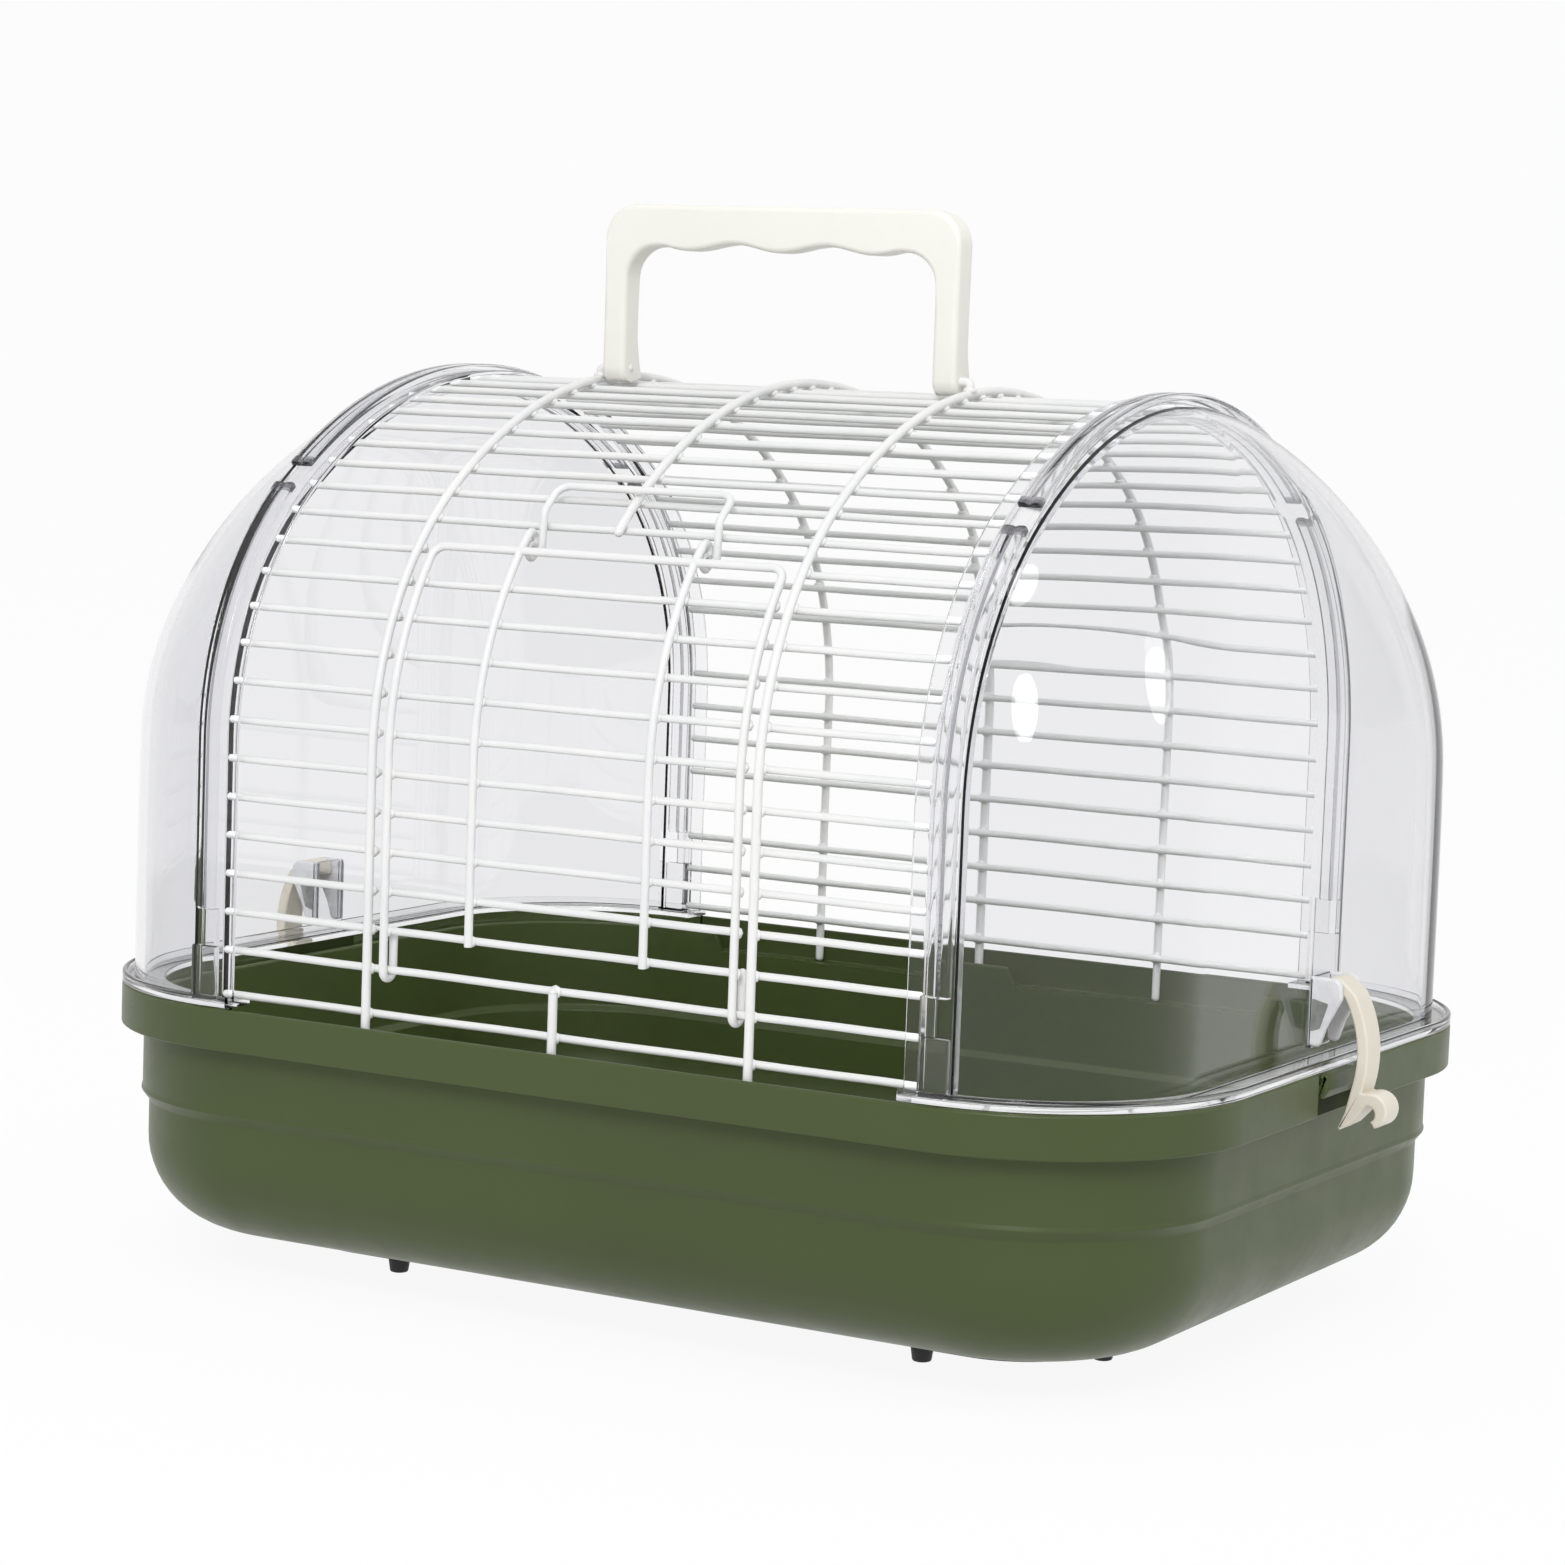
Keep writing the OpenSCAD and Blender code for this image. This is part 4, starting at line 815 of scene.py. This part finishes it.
def handle_stations():
    """Outer and inner edge of the handle in (x, z), and its front and back, from foot to foot."""
    half, inner = LEG_X + LEG_W / 2, LEG_X - LEG_W / 2
    r, radius = HANDLE_R, LEG_T / 2
    leg = []
    for drop in (0.25, 0.8, 1.6, 2.6, 3.6):
        z = PIN_Z - radius + drop
        leg.append((z, -sqrt(radius ** 2 - (z - PIN_Z) ** 2)))
    leg += [(PIN_Z + up, -radius) for up in (0.4, 2.0, 4.0, 6.0, 7.5, 9.0, 12.0, 18.0)]
    rows = []
    for z, front in leg:
        fade = (PIN_Z + HEEL_TOP - z) / (HEEL_TOP + HEEL_LOW)
        behind = radius + HEEL * min(1.0, max(0.0, fade)) ** 1.2
        if z < PIN_Z - HEEL_LOW:
            behind = min(behind, -front + HEEL * (z - PIN_Z + radius) / (radius - HEEL_LOW))
        rows.append(((-half, z), (-inner, z), front, behind))
    for a in quarter(12):
        rows.append(((-half + r * (1 - cos(a)), GRIP_Z - r + r * sin(a)),
                     (-inner + r * (1 - cos(a)), GRIP_Z - GRIP_T - r * (1 - sin(a))), -radius, radius))
    turned = len(rows)
    n = 60
    for i in range(1, n):
        x_out, x_in = (half - r) * (2 * i / n - 1), (inner - r) * (2 * i / n - 1)
        rows.append(((x_out, GRIP_Z), (x_in, grip_under(x_in)), -radius, radius))
    return rows + [((-a[0], a[1]), (-b[0], b[1]), y0, y1) for a, b, y0, y1 in reversed(rows[:turned])]


def make_handle():
    rings = []
    for outer, inner, y0, y1 in handle_stations():
        a, b = Vector(outer), Vector(inner)
        wide = (b - a).length
        edge = min(1.5, 0.45 * (y1 - y0), 0.45 * wide)
        ring = rounded([(0, y0, edge), (wide, y0, edge), (wide, y1, edge), (0, y1, edge)], 4)
        way = (b - a) / wide
        rings.append([Vector((a.x + way.x * u, y - HANDLE_Y, a.y + way.y * u)) for u, y in ring])
    shape = Shape()
    shape.loft(rings)
    build("carry_handle", shape, "handle", ["handle"], [CREAM], flats=True)


# Clear end pieces


def clear_pair(name, shape, node, materials, flats=True):
    """Builds a clear piece for the right end and its mirror image for the left."""
    for side, form in (("_right", shape), ("_left", shape.mirrored())):
        build(name + side, form, "top", [node + side], materials, flats=flats)


def strip_stations(s0, s1, step=3.0, soft=0.5):
    """Stations of a clamp strip: soft ends, a stretch for the painted shade of the cut end, then equal
    steps.
    """
    middle = [(s, 0.0) for s in [s0 + soft, *arch_steps(s0 + DARK_END, s1 - DARK_END, step), s1 - soft]]
    first = [(s0, soft), (s0 + soft * 0.3, soft * 0.3)]
    return first + middle + [(s1 - soft * 0.3, soft * 0.3), (s1, soft)]


def make_end_frames():
    foot = FLANGE_TOP - HINGE_Z
    x0, x1 = WIRE_END, WIRE_END + FRAME_W
    outline = rounded([(FLAP_X, FLAP_OFF, 0.3), (x0, FLAP_OFF, 0.4), (x0, -FRAME_IN, 0.5),
                       (x1, -FRAME_IN, 0.5), (x1, FRAME_OUT, 0.3), (FLAP_X, FRAME_OUT, 0.4)], 3)
    shape = Shape()
    arch_sweep(shape, outline, [(s, 0.0) for s in arch_steps(foot, 2 * HALF - foot, 3.0)])
    clear_pair("arched_frame", shape, "end_frame", [TRIM])


def strip_outline(x0, x1, groove=True):
    """Section of a clamp strip in (x, off); a groove leaves two beads with a valley between them."""
    low, high = FRAME_OUT - 0.02, FRAME_OUT + CLAMP_T
    if not groove:
        return rounded([(x0, low, 0.1), (x1, low, 0.1), (x1, high, 0.6), (x0, high, 0.6)], 4)
    bead_w, slope_w, valley = 0.36 * (x1 - x0), 0.44 * (x1 - x0), high - 0.9
    return rounded([(x0, low, 0.1), (x1, low, 0.1), (x1, high, 0.7), (x1 - bead_w, high, 0.6),
                    (x1 - slope_w, valley, 0.3), (x0 + slope_w, valley, 0.3), (x0 + bead_w, high, 0.6),
                    (x0, high, 0.7)], 4)


def make_clamps():
    ridge = strip_outline(RIDGE_X, RIDGE_X + RIDGE_W)
    deep = [FRAME_OUT + 0.3 < off < FRAME_OUT + CLAMP_T - 0.5 for _, off in ridge]
    valley = [j for j in range(len(ridge)) if deep[j] and deep[(j + 1) % len(ridge)]]
    neck_s, ridge_s = WIRE_Z + CLAMP_NECK - HINGE_Z, WIRE_Z + CLAMP_RIDGE - HINGE_Z
    foot = FLANGE_TOP - HINGE_Z
    gap0, gap1 = CLAMP_BREAK - CLAMP_GAP / 2, CLAMP_BREAK + CLAMP_GAP / 2
    x0 = WIRE_END + 0.3
    neck = strip_outline(x0, x0 + RIDGE_W / 2 + 1, groove=False)
    block = strip_outline(x0, WIRE_END + FRAME_W - 0.2, groove=False)
    front = Shape()
    # The cut ends and the groove's valley take the painted shade.
    arch_sweep(front, ridge, strip_stations(ridge_s, gap0), cap_mark=1, dark_rings=(-1, -2, -3),
               dark_sides=valley)
    arch_sweep(front, neck, [(s, 0.0) for s in arch_steps(neck_s, ridge_s + 0.3, 3)])
    arch_sweep(front, block, strip_stations(foot, neck_s, soft=0.35))
    top = Shape()
    arch_sweep(top, ridge, strip_stations(gap1, 2 * HALF - gap1), cap_mark=1,
               dark_rings=(0, 1, 2, -1, -2, -3), dark_sides=valley)
    for name, shape in (("front", front), ("back", front.mirrored(1)), ("top", top)):
        clear_pair("clamp_strip_" + name, shape, "clamp_" + name, [TRIM, PAINTED_SHADE_CLEAR])


def make_shells():
    level_steps, dome_steps, cols = 10, 44, 40

    def share(z):
        """Part of the half width that the rounded corner takes, from its foot to nearly all at the top."""
        low = SHELL_CORNER / (LEG_Y + SHELL_OFF)
        up = (z - WIRE_Z) / VAULT_H
        return min(0.97, low + (1 - low) * up ** 4)

    def row(k, inset):
        """Row k of the cover from one edge at the arched frame round to the other, drawn in by inset."""
        reach = SHELL_REACH - inset
        if k <= level_steps:
            z = FLANGE_TOP + (DOME_Z - FLANGE_TOP) * k / level_steps
        else:
            a = (k - level_steps) / dome_steps * acos((FRAME_W + 0.6) / reach)
            z = DOME_Z + (TOP_Z + SHELL_OFF - inset - DOME_Z) * sin(a)
            reach = reach * cos(a)
        half = arch_half(z, SHELL_OFF - inset)
        ry = half * share(z)
        rx = min(SHELL_CORNER, reach)
        end = acos(max(-1.0, (FRAME_W - reach + rx) / rx))
        pts = []
        for side in (-1, 1):
            for j in range(cols + 1):
                a = end * ((1 - j / cols) if side < 0 else j / cols)
                x = WIRE_END + reach - rx + rx * cos(a)
                pts.append(Vector((x, side * (half - ry + ry * sin(a)), z)))
        return pts

    shape = Shape()
    rows = range(level_steps + dome_steps + 1)
    outer, inner = [row(k, 0) for k in rows], [row(k, SHELL_T) for k in rows]
    n = len(outer[0])
    rings = [o + list(reversed(i)) for o, i in zip(outer, inner)]
    shape.loft(rings, caps=False)
    for ring in (rings[0], rings[-1]):
        shape.add(ring, [[j, j + 1, 2 * n - 2 - j, 2 * n - 1 - j] for j in range(n - 1)])
    clear_pair("clear_dome", shape, "shell", [SHELL], flats=False)


def make_flanges():
    inner_r = SHELL_X - SHELL_T - CORNER_X - 1
    bead_r, wire_x = 57.2, 102.0
    rib_out, rib_in, rib_z = LIP_R - 0.3, LIP_R - 1.5, 72.3
    outline = rounded([(inner_r, FLANGE_Z, 0.3), (rib_in, FLANGE_Z, 0.2), (rib_in, rib_z, 0.4),
                       (rib_out, rib_z, 0.4), (rib_out, FLANGE_Z, 0.2), (RIM_R, FLANGE_Z, 0.5),
                       (RIM_R, BEAD_TOP, 0.62), (bead_r, BEAD_TOP, 0.62), (bead_r, FLANGE_TOP, 0.2),
                       (inner_r, FLANGE_TOP, 0.4)], 4)
    places = [((x, -CORNER_Y), (0, -1)) for x in (FLAP_X, wire_x)]
    places += [((CORNER_X, -CORNER_Y), (sin(a), -cos(a))) for a in quarter(24)]
    places += [((CORNER_X, y), (1, 0)) for y in (-40.0, -14.0, 14.0, 40.0)]
    places += [((CORNER_X, CORNER_Y), (cos(a), sin(a))) for a in quarter(24)]
    places += [((x, CORNER_Y), (0, 1)) for x in (wire_x, FLAP_X)]
    shape = Shape()
    shape.loft([[Vector((b[0] + o[0] * r, b[1] + o[1] * r, z)) for r, z in outline] for b, o in places])
    clear_pair("clear_flange", shape, "base_flange", [TRIM])


def make_brackets():
    low, high = WIRE_Z + 1, CLIP_Z + 3
    ear = rounded([(SHELL_X, low + 1, 0.4), (SHELL_X + 3.2, low + 0.3, 1.5), (SHELL_X + 5.0, low + 6, 2.5),
                   (CLIP_X + 3, CLIP_Z - 2.2, 2.4), (CLIP_X + 2.6, high, 2.4), (SHELL_X, high, 0.4)], 5)
    window = rounded([(SHELL_X + 0.9, low + 4.5, 0.3), (SHELL_X + 3.4, low + 5.5, 0.3),
                      (SHELL_X + 5.4, low + 12.0, 0.4), (SHELL_X + 0.9, low + 13.0, 0.3)])
    plate = rounded([(-EAR_Y, low, 1.5), (EAR_Y, low, 1.5), (EAR_Y, high, 1.5), (-EAR_Y, high, 1.5)], 4)
    shape, pane, backing = Shape(), Shape(), Shape()
    for side in (-1, 1):
        slab(shape, ear, lambda u, v, w: Vector((u, side * (EAR_Y - EAR_T + w), v)), EAR_T, 0.8, 2)
        slab(pane, window, lambda u, v, w: Vector((u, side * (EAR_Y - 0.15 + w), v)), WINDOW_T, 0.1, 2)
    slab(backing, plate, lambda u, v, w: Vector((SHELL_X - 0.02 + w, u, v)), BACKING_T, 0.3)
    # The window takes the painted shade.
    shape.add(pane.verts, pane.faces, 1)
    shape.add(backing.verts, backing.faces, 2)
    clear_pair("clip_bracket_clear", shape, "clip_bracket", [EAR, PAINTED_SHADE_WINDOW, TRIM])
    for side, name in ENDS:
        shape = Shape()
        path = [Vector((side * CLIP_X, y, CLIP_Z)) for y in (-EAR_Y, 0, EAR_Y)]
        tube(shape, path, CLIP_PIN_R, 20, end=0.4)
        build("clip_pin_" + name + "_turned", shape, "top", ["clip_pin_" + name], [CLIP])


# End clips


def arc2(c, r, a0, a1, n=18):
    """Points of an arc about c in the plane of an outline, from angle a0 to a1 in degrees."""
    angles = [radians(a0 + (a1 - a0) * i / n) for i in range(n + 1)]
    return [(c[0] + r * cos(a), c[1] + r * sin(a)) for a in angles]


def make_clips():
    bow, half = (CLIP_X - BOW_IN, CLIP_Z - BOW_DROP), CLIP_T / 2
    claw = (RIM_X + CLAW_GAP, SKIRT_Z - CLAW_DROP)
    tab = (claw[0] + THUMB_OUT, claw[1] + THUMB_UP)
    outline = arc2(bow, BOW_R + half, 30, -16)
    outline += arc2(tab, THUMB_R, 110, -75)
    outline += arc2((tab[0] - 1, tab[1] - 0.9), 2.2, -60, 90, 8)
    hook = ((5.6, 3.7), (3.1, 1), (0.4, -0.6), (0, 0), (1.7, 4.2))
    outline += [(claw[0] + x, claw[1] + z) for x, z in hook]
    outline += arc2(bow, BOW_R - half, -16, 31)
    outline += arc2((CLIP_X, CLIP_Z), CLIP_T, 205, 50, 16)
    for side, name in ENDS:
        shape = Shape()
        slab(shape, outline, lambda u, v, w: Vector((side * u, w - CLIP_W / 2, v)), CLIP_W, 0.7, 3)
        build("end_clip_" + name, shape, "clip_" + name, ["clip_" + name], [CLIP],
              flats=True)


# Stage, light and camera


def seen_directly(tree):
    """1 for what the camera sees by itself, in gloss or through clear plastic, and 0 for lighting."""
    rays = add(tree, "ShaderNodeLightPath").outputs
    value = rays["Is Camera Ray"]
    for ray in ("Is Glossy Ray", "Is Transmission Ray"):
        value = linked(tree, "ShaderNodeMath", (value, rays[ray]), operation="MAXIMUM")
    return value


def make_stage():
    material, tree = node_tree("pale_floor")
    cloud = spread(tree, noise(tree, object_place(tree), 2.0, 2.0), 0.3, 0.7, 0.0, 1.0)
    colour = blend(tree, cloud, (0.93, 0.93, 0.93, 1), (0.95, 0.95, 0.95, 1))
    shader = linked(tree, "ShaderNodeBsdfDiffuse", [colour])
    white = add(tree, "ShaderNodeEmission", Strength=1.0).outputs[0]
    glow = spread(tree, seen_directly(tree), 0.0, 1.0, 0.0, FLOOR_GLOW)
    surface(tree, linked(tree, "ShaderNodeMixShader", (glow, shader, white)))
    mesh = bpy.data.meshes.new("floor")
    mesh.from_pydata([(FLOOR_R * c, FLOOR_R * s, 0.0) for c, s in round_about(96)], [], [list(range(96))])
    mesh.materials.append(material)
    floor = bpy.data.objects.new("floor", mesh)
    bpy.context.scene.collection.objects.link(floor)

    world = bpy.data.worlds.new("studio")
    bpy.context.scene.world = world
    world.use_nodes = True
    tree = world.node_tree
    tree.nodes.clear()
    height = add(tree, "ShaderNodeSeparateXYZ")
    tree.links.new(add(tree, "ShaderNodeTexCoord").outputs["Generated"], height.inputs[0])
    strength = add(tree, "ShaderNodeMix")
    strength.inputs[3].default_value = BACKDROP
    tree.links.new(seen_directly(tree), strength.inputs[0])
    tree.links.new(spread(tree, height.outputs["Z"], 0.0, 1.0, *WORLD_LIGHT), strength.inputs[2])
    back = add(tree, "ShaderNodeBackground", Color=(1, 1, 1, 1))
    tree.links.new(strength.outputs[0], back.inputs["Strength"])
    surface(tree, back.outputs[0], "ShaderNodeOutputWorld")


def make_lights():
    """Oval soft lamps, whose reflections in the right cover are the oval highlights seen there."""
    for name, place, aim, wide, tall, power in LAMPS:
        data = bpy.data.lights.new(name, "AREA")
        data.shape = "ELLIPSE"
        data.size, data.size_y = wide, tall
        data.energy = power
        lamp = bpy.data.objects.new(name, data)
        lamp.location = place
        lamp.rotation_euler = (Vector(aim) - Vector(place)).to_track_quat("-Z", "Y").to_euler()
        bpy.context.scene.collection.objects.link(lamp)


def make_camera():
    az, el, roll = [radians(a) for a in CAMERA_TURN]
    forward = Vector((-sin(az) * cos(el), cos(az) * cos(el), -sin(el)))
    right0 = Vector((cos(az), sin(az), 0))
    up0 = right0.cross(forward)
    right = right0 * cos(roll) + up0 * sin(roll)
    up = up0 * cos(roll) - right0 * sin(roll)
    data = bpy.data.cameras.new("camera")
    data.sensor_width = 36.0
    data.lens = CAMERA_LENS
    camera = bpy.data.objects.new("camera", data)
    rows = [(right[i], up[i], -forward[i], CAMERA_AT[i]) for i in range(3)]
    camera.matrix_world = Matrix(rows + [(0, 0, 0, 1)])
    bpy.context.scene.collection.objects.link(camera)
    bpy.context.scene.camera = camera


make_tray()
make_feet()
make_wires()
make_latch(make_door())
make_handle_pins()
make_handle()
make_end_frames()
make_clamps()
make_shells()
make_flanges()
make_brackets()
make_clips()
make_stage()
make_lights()
make_camera()

bpy.context.scene.view_settings.view_transform = "Standard"

bpy.context.view_layer.update()
